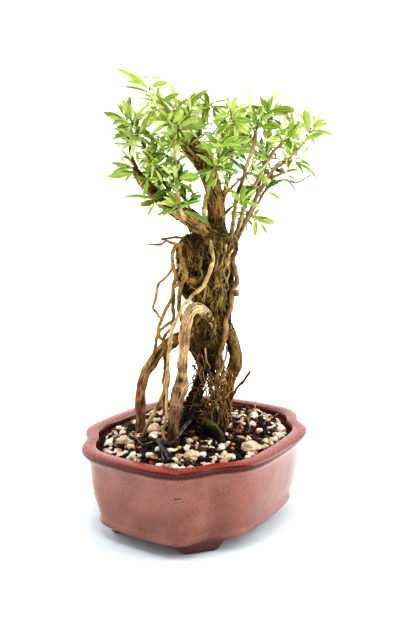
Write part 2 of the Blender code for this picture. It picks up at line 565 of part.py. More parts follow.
def surface_of(parts):
    """A search tree over the parts' surfaces."""
    graph = bpy.context.evaluated_depsgraph_get()
    return [BVHTree.FromObject(part, graph) for part in parts]


def seated(place, surfaces, clearance):
    """The place moved so that it lies at the clearance from the nearest wood."""
    point, normal, _, distance = min((tree.find_nearest(place) for tree in surfaces), key=lambda hit: hit[3])
    outward = place - point
    if outward.dot(normal) < 0 or distance < 0.1 * MM:
        outward = normal
    return point + outward.normalized() * clearance


def leaf_mesh(root, heading, lean, length, width, grow=0.0):
    """A pointed, lens-shaped blade from root, drooping towards its tip."""
    across = Vector((math.cos(heading) * math.cos(lean), math.sin(lean), math.sin(heading) * math.cos(lean)))
    along = (tree_point(*across) / MM).normalized()
    side = along.cross(Vector((0, 0, 1)))
    side = (side.normalized() if side.length > 0.2 else tree_point(0, 1, 0).normalized())
    side = Matrix.Rotation(lean + 0.5, 3, along) @ side
    bm = bmesh.new()
    bmesh.ops.create_uvsphere(bm, u_segments=4, v_segments=3, radius=0.5)
    for vert in bm.verts:
        share = vert.co.z + 0.5
        spread = side * vert.co.x * (width + 2 * grow)
        spread += side.cross(along) * vert.co.y * (LEAF_THICKNESS + 2 * grow)
        drop = Vector((0, 0, -LEAF_DROOP * length * share ** 2))
        vert.co = root + (along * (0.4 + share * (length + grow)) + spread + drop) * MM
    return mesh_of(bm, "leaf")


def is_clear(mesh, surfaces):
    """Whether a mesh crosses none of the surfaces."""
    bm = bmesh.new()
    bm.from_mesh(mesh)
    tree = BVHTree.FromBMesh(bm)
    bm.free()
    return not any(tree.overlap(other) for other in surfaces)


def grown_leaf(root, heading, length, surfaces, rng):
    """A leaf turned to where it has room among its neighbours, or None."""
    width = min(max(length * LEAF_WIDTH_SHARE, LEAF_WIDTHS[0]), LEAF_WIDTHS[1])
    first_lean = rng.uniform(-0.5, 0.5)
    leans = [first_lean, -first_lean] + [first_lean + step for step in (0.4, -0.4, 0.8, -0.8)]
    for swing in (0, 12, -12, 24, -24):
        for lean in leans:
            turned = math.radians(heading + swing)
            if is_clear(leaf_mesh(root, turned, lean, length, width, grow=GAP), surfaces):
                return leaf_mesh(root, turned, lean, length, width)
    return None


def build_tufts(wood, finish):
    """Each tuft of leaves as one piece: a bud seated on its shoot, and the leaves that spring from it."""
    surfaces = surface_of(wood)
    rng = random.Random(11)
    for name, (place, leaves) in TUFTS.items():
        asked = tree_point(*place)
        root = seated(asked, surfaces[:len(wood)], (BUD_RADIUS + GAP) * MM)
        bm = bmesh.new()
        bud_place = Matrix.Translation(root)
        bmesh.ops.create_icosphere(bm, subdivisions=1, radius=BUD_RADIUS * MM, matrix=bud_place)
        tuft = add_part(f"leaves_{name}", mesh_of(bm, name), finish, sharp=60)
        blades = [grown_leaf(root, heading, length, surfaces, rng) for heading, length in leaves]
        blades = [blade for blade in blades if blade]
        combine(tuft, add_cutter(f"{name} blades", gathered(name, blades)), "UNION", crossing=True)
        apply_modifiers(tuft)
        surfaces += surface_of([tuft])


def build_tree(bark, young_bark, leaf):
    """Trunk with its roots and heavy branches, the shoots seated on it, and the leaves."""
    trunk = joined_wood("trunk_and_roots", list(TRUNK.values()) + list(ROOTS.values()), bark)
    apply_modifiers(trunk)
    grown = [wood_tube(name, path, GAP) for name, path in TRUNK.items()]
    socket = add_cutter("wood around shoots", gathered("socket", grown))
    shoots = []
    for name, paths in SHOOTS.items():
        shoot = joined_wood(name, paths, young_bark)
        combine(shoot, socket, "DIFFERENCE", crossing=True)
        shoots.append(shoot)
    bpy.context.view_layer.update()
    build_tufts([trunk] + shoots, leaf)


def root_pockets(soil):
    """Cut the places in the soil where the roots and the anchor wire go down."""
    feet = [wood_tube(name, ROOTS[name], GAP) for name in FEET_IN_SOIL]
    combine(soil, add_cutter("root pockets", gathered("pockets", feet)), "DIFFERENCE", crossing=True)
    wire = tube_mesh("wire way", [(Vector(p) * MM, ANCHOR_WIRE) for p in anchor_points()], 6, 1, GAP)
    combine(soil, add_cutter("wire way", wire), "DIFFERENCE", crossing=True)


for leftover in list(bpy.data.objects):
    bpy.data.objects.remove(leftover)
PARTS = fresh_collection("serissa bonsai")
CUTTERS = fresh_collection("cutters")
glaze = material("red-brown glaze", (0.39, 0.13, 0.11), 0.3)
earth = material("potting soil", (0.03, 0.02, 0.015), 0.95)
plastic = material("screen plastic", (0.03, 0.03, 0.03), 0.6)
wire_metal = material("dark aluminium wire", (0.08, 0.08, 0.09), 0.45, 1.0)
build_pot(glaze)
for side_name, side_sign in (("left", -1), ("right", 1)):
    build_screen(f"drainage_screen_{side_name}", side_sign, plastic)
    wire_part(f"screen_clip_{side_name}", clip_points(side_sign), CLIP_WIRE, wire_metal)
wire_part("anchor_wire", anchor_points(), ANCHOR_WIRE, wire_metal)
ground = build_soil(earth)
root_pockets(ground)
build_nuggets(ground, material("pumice", (0.75, 0.68, 0.6), 0.9))
build_tree(material("bark", (0.2, 0.11, 0.06), 0.85), material("young bark", (0.32, 0.2, 0.13), 0.75),
           material("serissa leaf", (0.2, 0.4, 0.05), 0.5))
lowered = Matrix.Translation((0, 0, -DATUM_UNDER_FEET * MM))
for item in bpy.data.objects:
    item.data.transform(lowered)
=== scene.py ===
"""Serissa bonsai with lifted roots in a glazed lobed pot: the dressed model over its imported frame.

Metres, +Z up, with the pot's long axis on X and the floor at z = 0. The tree is laid out in millimetres as
seen from its front: across to the viewer's right, depth away from the viewer and up from the floor.
"""
import logging
import math
import random
from dataclasses import dataclass, field
from enum import Enum
from functools import partial
from typing import Any, Callable, Sequence

import bmesh
import bpy
import numpy as np
from mathutils import Matrix, Vector, noise
from mathutils.bvhtree import BVHTree
from mathutils.kdtree import KDTree


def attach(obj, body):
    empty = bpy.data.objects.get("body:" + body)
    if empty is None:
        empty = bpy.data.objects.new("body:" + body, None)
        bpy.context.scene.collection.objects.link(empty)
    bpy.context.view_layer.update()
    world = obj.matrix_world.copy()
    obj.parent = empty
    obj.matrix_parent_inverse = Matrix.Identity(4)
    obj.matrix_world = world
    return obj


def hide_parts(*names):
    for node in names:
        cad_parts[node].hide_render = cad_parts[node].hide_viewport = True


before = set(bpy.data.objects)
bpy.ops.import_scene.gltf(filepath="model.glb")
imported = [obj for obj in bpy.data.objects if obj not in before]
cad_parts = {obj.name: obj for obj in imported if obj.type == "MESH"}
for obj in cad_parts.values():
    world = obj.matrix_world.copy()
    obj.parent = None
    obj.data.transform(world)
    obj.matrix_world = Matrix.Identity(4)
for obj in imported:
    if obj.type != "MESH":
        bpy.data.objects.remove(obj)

LOG = logging.getLogger("serissa")
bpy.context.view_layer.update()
BODY = "root"

MM = 0.001
FRONT_TURN = math.radians(57.8)     # the tree's front, turned from the pot's long axis
NOISE_SEED = 3                      # fixes how twigs and fibres wander, which else changes with the clock
DATUM_UNDER_FEET = 2.3              # mm; heights are laid out from this far under the pot's feet
UP = Vector((0, 0, 1))
Rows = tuple[tuple[float, ...], ...]
Stops = Sequence[tuple[float, str]]


# ---------------------------------------------------------------- the tree's grid, and small tools

def numbers(text: str) -> Rows:
    """The rows of numbers in a text such as "7 4 97, 7 1 109"."""
    return tuple(tuple(map(float, row.split())) for row in text.split(","))


def tree_mm(across: float, depth: float, up: float) -> Vector:
    """A place in the tree's grid, in millimetres in the pot's frame."""
    turn_x, turn_y = math.cos(FRONT_TURN), math.sin(FRONT_TURN)
    return Vector((across * turn_x + depth * turn_y, depth * turn_x - across * turn_y, up))


def any_way(rng: random.Random, rise: float = 1.0) -> Vector:
    """A direction drawn from all round, flatter the smaller its rise."""
    return Vector((rng.gauss(0, 1), rng.gauss(0, 1), rng.gauss(0, rise))).normalized()


def across_to(way: Vector, turn: float) -> Vector:
    """A direction square to a way, turned round it by so many radians."""
    return Matrix.Rotation(turn, 3, way) @ way.orthogonal().normalized()


def sized(place: Vector, turn: Matrix, size: float) -> Matrix:
    """Where a shape of unit size goes: place and size in millimetres."""
    return Matrix.Translation(place * MM) @ turn @ Matrix.Scale(size * MM, 4)


def linear(code: str) -> tuple[float, float, float, float]:
    """An sRGB hex colour as linear light with full opacity."""
    parts = [int(code[i:i + 2], 16) / 255 for i in (1, 3, 5)]
    red, green, blue = [p / 12.92 if p <= 0.04045 else ((p + 0.055) / 1.055) ** 2.4 for p in parts]
    return red, green, blue, 1.0


def per_mm(size: float) -> float:
    """The texture scale, in object metres, that makes one feature this many millimetres wide."""
    return 1.0 / (size * MM)


def plug(node: bpy.types.Node, sockets: dict[Any, Any]) -> None:
    """Fills inputs by name or number, each with a socket to link from, a constant, or a colour as hex."""
    for name, value in sockets.items():
        if isinstance(value, bpy.types.NodeSocket):
            node.id_data.links.new(value, node.inputs[name])
        else:
            node.inputs[name].default_value = linear(value) if isinstance(value, str) else value


def add_node(tree: bpy.types.NodeTree, kind: str, sockets: Any = (), stops: Stops = (), out: int | str = 0,
             **settings: Any) -> bpy.types.NodeSocket:
    """Adds a shader node with its settings and links.

    Args:
        tree: the node tree.
        kind: the node's type name, after "ShaderNode".
        sockets: what fills its inputs, as plug() takes it or in their order.
        stops: colour stops of a colour ramp, as (position, hex).
        out: the output wanted.
        settings: properties of the node itself.

    Returns:
        That output's socket.
    """
    node = tree.nodes.new("ShaderNode" + kind)
    for name, value in settings.items():
        setattr(node, name, value)
    plug(node, sockets if isinstance(sockets, dict) else dict(enumerate(sockets)))
    for _ in stops[2:]:
        node.color_ramp.elements.new(0.5)
    for element, (place, code) in zip(node.color_ramp.elements if stops else (), stops):
        element.position, element.color = place, linear(code)
    return node.outputs[out]


def mode(name: str) -> None:
    """Goes into the edit or the object mode."""
    bpy.ops.object.mode_set(mode=name)


def pick_all(chosen: bool = True) -> None:
    """Selects or deselects all that is being edited."""
    bpy.ops.mesh.select_all(action="SELECT" if chosen else "DESELECT")


def pick(obj: bpy.types.Object) -> None:
    """Selects this object only and makes it active."""
    bpy.ops.object.select_all(action="DESELECT")
    obj.select_set(True)
    bpy.context.view_layer.objects.active = obj


def primitive(add: Callable[..., Any], **settings: Any) -> bpy.types.Object:
    """The object that an operator adds, selected alone.

    Args:
        add: the operator.
        settings: what it is called with.

    Returns:
        The new object.
    """
    bpy.ops.object.select_all(action="DESELECT")
    add(**settings)
    return bpy.context.object


def boolean(obj: bpy.types.Object, other: bpy.types.Object, operation: str) -> None:
    """Joins or cuts with another body, which is then gone.

    Args:
        obj: what is changed.
        other: the body it is joined with or cut by.
        operation: "UNION" or "DIFFERENCE".
    """
    pick(obj)
    modifier = obj.modifiers.new(operation.lower(), "BOOLEAN")
    modifier.operation, modifier.solver, modifier.object = operation, "EXACT", other
    bpy.ops.object.modifier_apply(modifier=modifier.name)
    bpy.data.objects.remove(other, do_unlink=True)


def seal(merge: float = 0.0) -> None:
    """Merges near points of the mesh being edited, turns its faces outwards and leaves the edit mode.

    Args:
        merge: points nearer than this become one; 0 merges none.
    """
    pick_all()
    if merge:
        bpy.ops.mesh.remove_doubles(threshold=merge)
    bpy.ops.mesh.normals_make_consistent(inside=False)
    mode("OBJECT")


def settle(obj: bpy.types.Object, name: str) -> bpy.types.Object:
    """Names a piece and puts its place, turn and scale in its mesh.

    Args:
        obj: the piece.
        name: its name.

    Returns:
        The same piece.
    """
    pick(obj)
    bpy.ops.object.transform_apply(location=True, rotation=True, scale=True)
    obj.name = obj.data.name = name
    return obj


def hand_over(obj: bpy.types.Object, finish: bpy.types.Material, slot: str, *nodes: str,
              angle: float = 180) -> None:
    """Lowers a finished piece from the layout's datum onto the floor, dresses it and ties it to the frame.

    Args:
        obj: the piece.
        finish: its material.
        slot: the record's material slot; not used.
        nodes: the CAD nodes that it stands for.
        angle: edges sharper than this, in degrees, stay sharp.
    """
    pick(obj)
    bpy.ops.object.shade_smooth_by_angle(angle=math.radians(angle))
    obj.data.transform(Matrix.Translation((0, 0, -DATUM_UNDER_FEET * MM)))
    obj.data.materials.clear()
    obj.data.materials.append(finish)
    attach(obj, BODY)
    if nodes:
        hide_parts(*nodes)
    LOG.info("%s: %d faces", obj.name, len(obj.data.polygons))


@dataclass
class Pattern:
    """The bare arrays of one modelled shape, ready to be copied."""

    points: np.ndarray
    corners: np.ndarray
    sizes: np.ndarray
    uvs: np.ndarray

    @staticmethod
    def of(obj: bpy.types.Object) -> "Pattern":
        """Reads a modelled object into arrays and removes it.

        Args:
            obj: the object.

        Returns:
            Its arrays.
        """
        mesh = obj.data
        points, corners = np.empty(len(mesh.vertices) * 3), np.empty(len(mesh.loops), int)
        sizes, uvs = np.empty(len(mesh.polygons), int), np.zeros(len(mesh.loops) * 2)
        mesh.vertices.foreach_get("co", points)
        mesh.loops.foreach_get("vertex_index", corners)
        mesh.polygons.foreach_get("loop_total", sizes)
        if mesh.uv_layers:
            mesh.uv_layers[0].data.foreach_get("uv", uvs)
        bpy.data.objects.remove(obj, do_unlink=True)
        return Pattern(points.reshape(-1, 3), corners, sizes, uvs.reshape(-1, 2))


@dataclass
class Pile:
    """Copies of modelled shapes gathered into one mesh, with a value of its own for each copy."""

    parts: list[tuple[np.ndarray, ...]] = field(default_factory=list)
    count: int = 0

    def add(self, shape: Pattern, place: Matrix, tone: float = 0.0) -> None:
        """Adds one copy, put where the matrix says, in metres.

        Args:
            shape: what is copied.
            place: where it goes.
            tone: the copy's own value, from 0 to 1.
        """
        points = shape.points @ np.array(place.to_3x3()).T + np.array(place.translation)
        tones = np.full(len(points), tone)
        self.parts.append((points, shape.corners + self.count, shape.sizes, shape.uvs, tones))
        self.count += len(points)

    def gather(self, name: str) -> bpy.types.Object:
        """The copies as one object, with the UV map "leaf" and the point attribute "tone".

        Args:
            name: the object's name.

        Returns:
            The object.
        """
        points, corners, sizes, uvs, tones = (np.concatenate(arrays) for arrays in zip(*self.parts))
        mesh = bpy.data.meshes.new(name)
        mesh.vertices.add(self.count)
        mesh.vertices.foreach_set("co", points.ravel())
        mesh.loops.add(len(corners))
        mesh.loops.foreach_set("vertex_index", corners)
        mesh.polygons.add(len(sizes))
        mesh.polygons.foreach_set("loop_start", np.concatenate(([0], np.cumsum(sizes)[:-1])))
        mesh.uv_layers.new(name="leaf").data.foreach_set("uv", uvs.ravel())
        mesh.attributes.new("tone", "FLOAT", "POINT").data.foreach_set("value", tones)
        mesh.update()
        mesh.validate()
        obj = bpy.data.objects.new(name, mesh)
        bpy.context.scene.collection.objects.link(obj)
        return obj


# ---------------------------------------------------------------- finishes

class Canvas:
    """A new material: its Principled shader, a way to add nodes, and the object's own coordinates."""

    def __init__(self, name: str) -> None:
        """Makes the material and its first node."""
        self.material = bpy.data.materials.new(name)
        self.material.use_nodes = True
        self.add: Callable[..., bpy.types.NodeSocket] = partial(add_node, self.material.node_tree)
        self.at = self.add("TexCoord", out="Object")

    def shade(self, sockets: dict[str, Any]) -> bpy.types.Material:
        """Fills the shader's inputs and gives back the finished material."""
        plug(self.material.node_tree.nodes["Principled BSDF"], sockets)
        return self.material


@dataclass(frozen=True)
class StonewareGlaze:
    """Fired stoneware under a red-brown glaze that broke paler over the body and ran darker below the lip."""

    body: Stops = ((0.35, "#844E3E"), (0.62, "#966050"))
    lip_top: str = "#8C4134"
    lip_dark: str = "#501A14"
    speck: str = "#34120E"
    foot: str = "#64342A"
    grain: Stops = ((0.3, "#64463E"), (0.7, "#E6D2CA"))
    coat: Stops = (
        (0.26, "#FFFFFF"), (0.36, "#505050"), (0.52, "#585858"), (0.62, "#FFFFFF"), (0.7, "#202020"))
    nick: tuple[float, float, float] = (-0.0662, -0.0308, 0.039)
    speck_mm: float = 0.7
    cloud_mm: float = 16.0
    peel_mm: float = 1.1

    def build(self, lip: tuple[float, float], foot_top: float) -> bpy.types.Material:
        """Makes the glaze.

        Args:
            lip: heights in metres between which the glaze pooled dark.
            foot_top: height in metres above which the feet end.

        Returns:
            The material.
        """
        canvas = Canvas("glazed stoneware")
        add, at, (low, high) = canvas.add, canvas.at, lip
        cloud = add("TexNoise", {"Vector": at, "Scale": per_mm(self.cloud_mm), "Detail": 4.0})
        base = add("ValToRGB", (cloud,), self.body)
        # Iron specks in the clay that came through the glaze.
        specks = add("TexVoronoi", {"Vector": at, "Scale": per_mm(self.speck_mm * 3.2)}, out="Distance")
        spare = add("TexNoise", {"Vector": at, "Scale": per_mm(5.0), "Detail": 2.0})
        near, some = add("MapRange", (specks, 0.12, 0.26, 1.0, 0.0)), add("MapRange", (spare, 0.5, 0.62))
        share = add("Math", (add("Math", (near, some), operation="MULTIPLY"), 0.62), operation="MULTIPLY")
        base = add("MixRGB", (share, base, self.speck))
        # The glaze pools dark on the lip's outer edge, with a wavering border.
        waver = add("TexNoise", {"Vector": at, "Scale": per_mm(14.0), "Detail": 3.0})
        drift = add("MapRange", (waver, 0.3, 0.7, -0.0002, 0.0002))
        level = add("Math", (add("SeparateXYZ", (at,), out="Z"), drift), operation="ADD")
        for start, end, colour in ((low - 0.0012, low + 0.0008, self.lip_dark),
                                   (high - 0.0004, high + 0.0002, self.lip_top)):
            base = add("MixRGB", (add("MapRange", (level, start, end), interpolation_type="SMOOTHSTEP"), base,
                                  colour))
        base = add("MixRGB", (add("MapRange", (level, foot_top - 0.003, foot_top + 0.002, 1.0, 0.0)), base,
                              self.foot))
        # One small chip in the body's glaze, dark where the clay shows.
        off = add("Mapping", {"Vector": at, "Location": tuple(-c for c in self.nick)})
        off = add("VectorMath", (off, (0.42, 0.42, 1.7)), operation="MULTIPLY")
        off = add("VectorMath", (off,), out="Value", operation="LENGTH")
        frayed = add("MapRange", (specks, 0.0, 1.0, -0.0002, 0.0004))
        off = add("Math", (off, frayed), operation="ADD")
        base = add("MixRGB", (add("MapRange", (off, 0.0008, 0.0012, 0.85, 0.0)), base, self.speck))
        # The rim was wiped smooth before it was glazed, so the grain shows less there.
        grain = add("TexNoise", {"Vector": at, "Scale": per_mm(1.1), "Detail": 6.0})
        coarse = add("MapRange", (level, low - 0.001, low + 0.001, 0.36, 0.16))
        base = add("MixRGB", (coarse, base, add("ValToRGB", (grain,), self.grain)), blend_type="SOFT_LIGHT")
        rough = add("Math", (add("MapRange", (grain, 0.3, 0.75, 0.3, 0.5)),
                             add("MapRange", (level, low - 0.0015, low + 0.001, 0.0, -0.1))), operation="ADD")
        peel = add("TexNoise", {"Vector": at, "Scale": per_mm(self.peel_mm), "Detail": 2.0})
        even = add("MapRange", (level, low - 0.001, low + 0.001, 0.25, 0.1))
        # The glaze lies thick and glassy where it pooled at the lip's edge, thin on the rim.
        glassy = add("ValToRGB", (add("MapRange", (level, low - 0.004, high + 0.004)),), self.coat)
        return canvas.shade({
            "Base Color": base, "Roughness": rough, "IOR": 1.45, "Specular IOR Level": 0.22,
            "Coat Weight": glassy, "Coat Roughness": 0.18,
            "Normal": add("Bump", {"Height": peel, "Strength": even, "Distance": 0.00025})})


@dataclass(frozen=True)
class MottledFinish:
    """A finish with one kind of mottle: its colour, its dullness and its relief all follow the same grain."""

    name: str
    stops: Stops
    grain_mm: float
    dullness: tuple[float, float]
    detail: float = 5.0
    grain_roughness: float = 0.5
    bump: tuple[float, float] = (0.0, 0.0)          # strength, and height in metres
    metallic: float = 0.0

    def build(self) -> bpy.types.Material:
        """Makes the material."""
        canvas = Canvas(self.name)
        add = canvas.add
        grain = add("TexNoise", {"Vector": canvas.at, "Scale": per_mm(self.grain_mm), "Detail": self.detail,
                                 "Roughness": self.grain_roughness})
        sockets = {"Base Color": add("ValToRGB", (grain,), self.stops), "Metallic": self.metallic,
                   "Roughness": add("MapRange", (grain, 0.3, 0.7, *self.dullness))}
        strength, height = self.bump
        if strength:
            sockets["Normal"] = add("Bump", {"Height": grain, "Strength": strength, "Distance": height})
        return canvas.shade(sockets)


# Damp peat and composted bark, pressed by hand: crumbly, nearly black, with a dull sheen where wet.
POTTING_SOIL = MottledFinish("potting soil", ((0.36, "#120B07"), (0.55, "#20140C"), (0.72, "#3A2417")), 1.6,
                             (0.62, 0.95), 8.0, 0.7, (0.9, 0.0008))
# Soft aluminium wire, drawn and anodised dark grey, dulled and scratched where it was twisted.
BONSAI_WIRE = MottledFinish("anodised aluminium wire", ((0.42, "#2C2C2E"), (0.72, "#6E6F72")), 1.8,
                            (0.42, 0.62), metallic=1.0)
# Injection-moulded polyethylene mesh, black, with a faint satin mottle and soil dust.
SCREEN_PLASTIC = MottledFinish("moulded polyethylene mesh", ((0.5, "#1B1B1C"), (0.75, "#3A322A")), 2.2,
                               (0.42, 0.7), bump=(0.3, 0.0002))


@dataclass(frozen=True)
class Grit:
    """Loose grains sifted into the soil, each with a colour of its own between the stops."""

    name: str
    stops: Stops
    stain: str
    pore_mm: float
    roughness: float = 0.9
    stain_share: float = 0.45

    def build(self) -> bpy.types.Material:
        """Makes the grains' finish; the tone attribute picks each grain's colour."""
        canvas = Canvas(self.name)
        add, at = canvas.add, canvas.at
        base = add("ValToRGB", (add("Attribute", out="Fac", attribute_name="tone"),), self.stops)
        dirt = add("TexNoise", {"Vector": at, "Scale": per_mm(3.0), "Detail": 4.0})
        base = add("MixRGB", (add("MapRange", (dirt, 0.5, 0.72, 0.0, self.stain_share)), base, self.stain))
        pore = add("TexNoise", {"Vector": at, "Scale": per_mm(self.pore_mm), "Detail": 6.0,
                                "Roughness": 0.65})
        base = add("MixRGB", (add("MapRange", (pore, 0.36, 0.46, 0.45, 0.0)), base, self.stain))
        return canvas.shade({"Base Color": base, "Roughness": self.roughness,
                             "Normal": add("Bump", {"Height": pore, "Strength": 0.7, "Distance": 0.0004})})


@dataclass(frozen=True)
class Bark:
    """Living bark: corky and furrowed when old, papery and streaked when young.

    Its colour comes from the piece's "skin" attribute, with moss in the alpha, raised on the upper sides
    where it also stands for painted light, and its streaks run along the wood, because "grain" holds each
    point's place round and along its own limb in millimetres; "relief" lets it paint shade into the furrows.
    """

    name: str
    # the colour of the painted shade in the furrows, and of the cork's own dark blots
    furrow_shade_and_blot: str = "#160D06"
    moss: str = "#6E6A24"
    streak_mm: float = 0.9
    stretch: float = 0.14
    depth_mm: float = 0.5
    contrast: float = 1.15

    def build(self) -> bpy.types.Material:
        """Makes the bark."""
        canvas = Canvas(self.name)
        add, at = canvas.add, canvas.at
        base, moss = (add("Attribute", out=part, attribute_name="skin") for part in ("Color", "Alpha"))
        relief = add("Attribute", out="Fac", attribute_name="relief")
        grain = add("Attribute", out="Vector", attribute_name="grain")
        stretched = add("Mapping", {"Vector": grain, "Scale": (1.0, 1.0, self.stretch)})
        streak = add("TexNoise", {"Vector": stretched, "Scale": 1.0 / self.streak_mm, "Detail": 5.0,
                                  "Roughness": 0.6})
        cloud = add("TexNoise", {"Vector": at, "Scale": per_mm(8.0), "Detail": 2.0})
        # Streaks and worn patches lighten and darken the limb's own colour.
        dull, bright = 1 - self.contrast * 0.55, 1 + self.contrast * 0.45
        for light in ((streak, 0.3, 0.7, dull, bright), (cloud, 0.36, 0.64, 0.6, 1.38)):
            base = add("VectorMath", {0: base, 3: add("MapRange", light)}, operation="SCALE")
        # Painted shade darkens the furrows between the ridges, where the relief is low, and the cork has dark
        # blots of its own; moss and algae sit in patches, more on the upper sides, where that green also
        # stands for painted light.
        blot = add("TexNoise", {"Vector": at, "Scale": per_mm(2.6), "Detail": 6.0, "Roughness": 0.65})
        patch = add("TexNoise", {"Vector": at, "Scale": per_mm(5.0), "Detail": 5.0, "Roughness": 0.6})
        moss_and_lit_top = add("Math", (patch, moss), operation="ADD")
        for cover, colour in (((relief, 0.57, 0.3, 0.0, 0.88), self.furrow_shade_and_blot),
                              ((blot, 0.46, 0.34, 0.0, 0.7), self.furrow_shade_and_blot),
                              ((moss_and_lit_top, 0.85, 1.1, 0.0, 0.8), self.moss)):
            base = add("MixRGB", (add("MapRange", cover), base, colour))
        rise = add("Math", (streak, blot), operation="ADD")
        return canvas.shade({
            "Base Color": base, "Roughness": 0.82, "Specular IOR Level": 0.3,
            "Normal": add("Bump", {"Height": rise, "Strength": 0.8, "Distance": self.depth_mm * MM})})


@dataclass(frozen=True)
class SerissaLeaf:
    """Thin living leaves: waxy and yellow-green, paler along the midrib and at the rim."""

    stops: Stops = (
        (0.0, "#1E5414"), (0.25, "#4A7A14"), (0.48, "#86A430"), (0.75, "#BCC668"), (1.0, "#DEDFB0"))
    rib: str = "#D8E68E"
    rim: str = "#E6EDAC"

    def build(self) -> bpy.types.Material:
        """Makes the leaves' finish; the UV map runs across and along each leaf."""
        canvas = Canvas("serissa leaf")
        add = canvas.add
        place = add("UVMap", uv_map="leaf")
        across, along = (add("SeparateXYZ", (place,), out=axis) for axis in "XY")
        cloud = add("TexNoise", {"Vector": canvas.at, "Scale": per_mm(7.0), "Detail": 3.0})
        # The base of a leaf is paler than its blade, and no blade is all of one green.
        tone = add("Attribute", out="Fac", attribute_name="tone")
        for shift in ((cloud, 0.3, 0.7, -0.12, 0.12), (along, 0.3, 0.0, 0.0, 0.16)):
            tone = add("Math", (tone, add("MapRange", shift)), operation="ADD")
        base = add("ValToRGB", (tone,), self.stops)
        away = add("Math", (add("Math", (across, 0.5), operation="SUBTRACT"),), operation="ABSOLUTE")
        for band, colour in (((away, 0.02, 0.08, 0.4, 0.0), self.rib),
                             ((away, 0.42, 0.5, 0.0, 0.4), self.rim)):
            base = add("MixRGB", (add("MapRange", band), base, colour))
        # Side veins leave the midrib at a slant.
        vein = add("Math", (along, add("Math", (away, 0.9), operation="MULTIPLY")), operation="SUBTRACT")
        vein = add("Math", (add("Math", (vein, 62.0), operation="MULTIPLY"),), operation="SINE")
        return canvas.shade({"Base Color": base, "Roughness": add("MapRange", (cloud, 0.3, 0.7, 0.34, 0.52)),
                             "Normal": add("Bump", {"Height": vein, "Strength": 0.12, "Distance": 0.00012})})


# ---------------------------------------------------------------- the pot

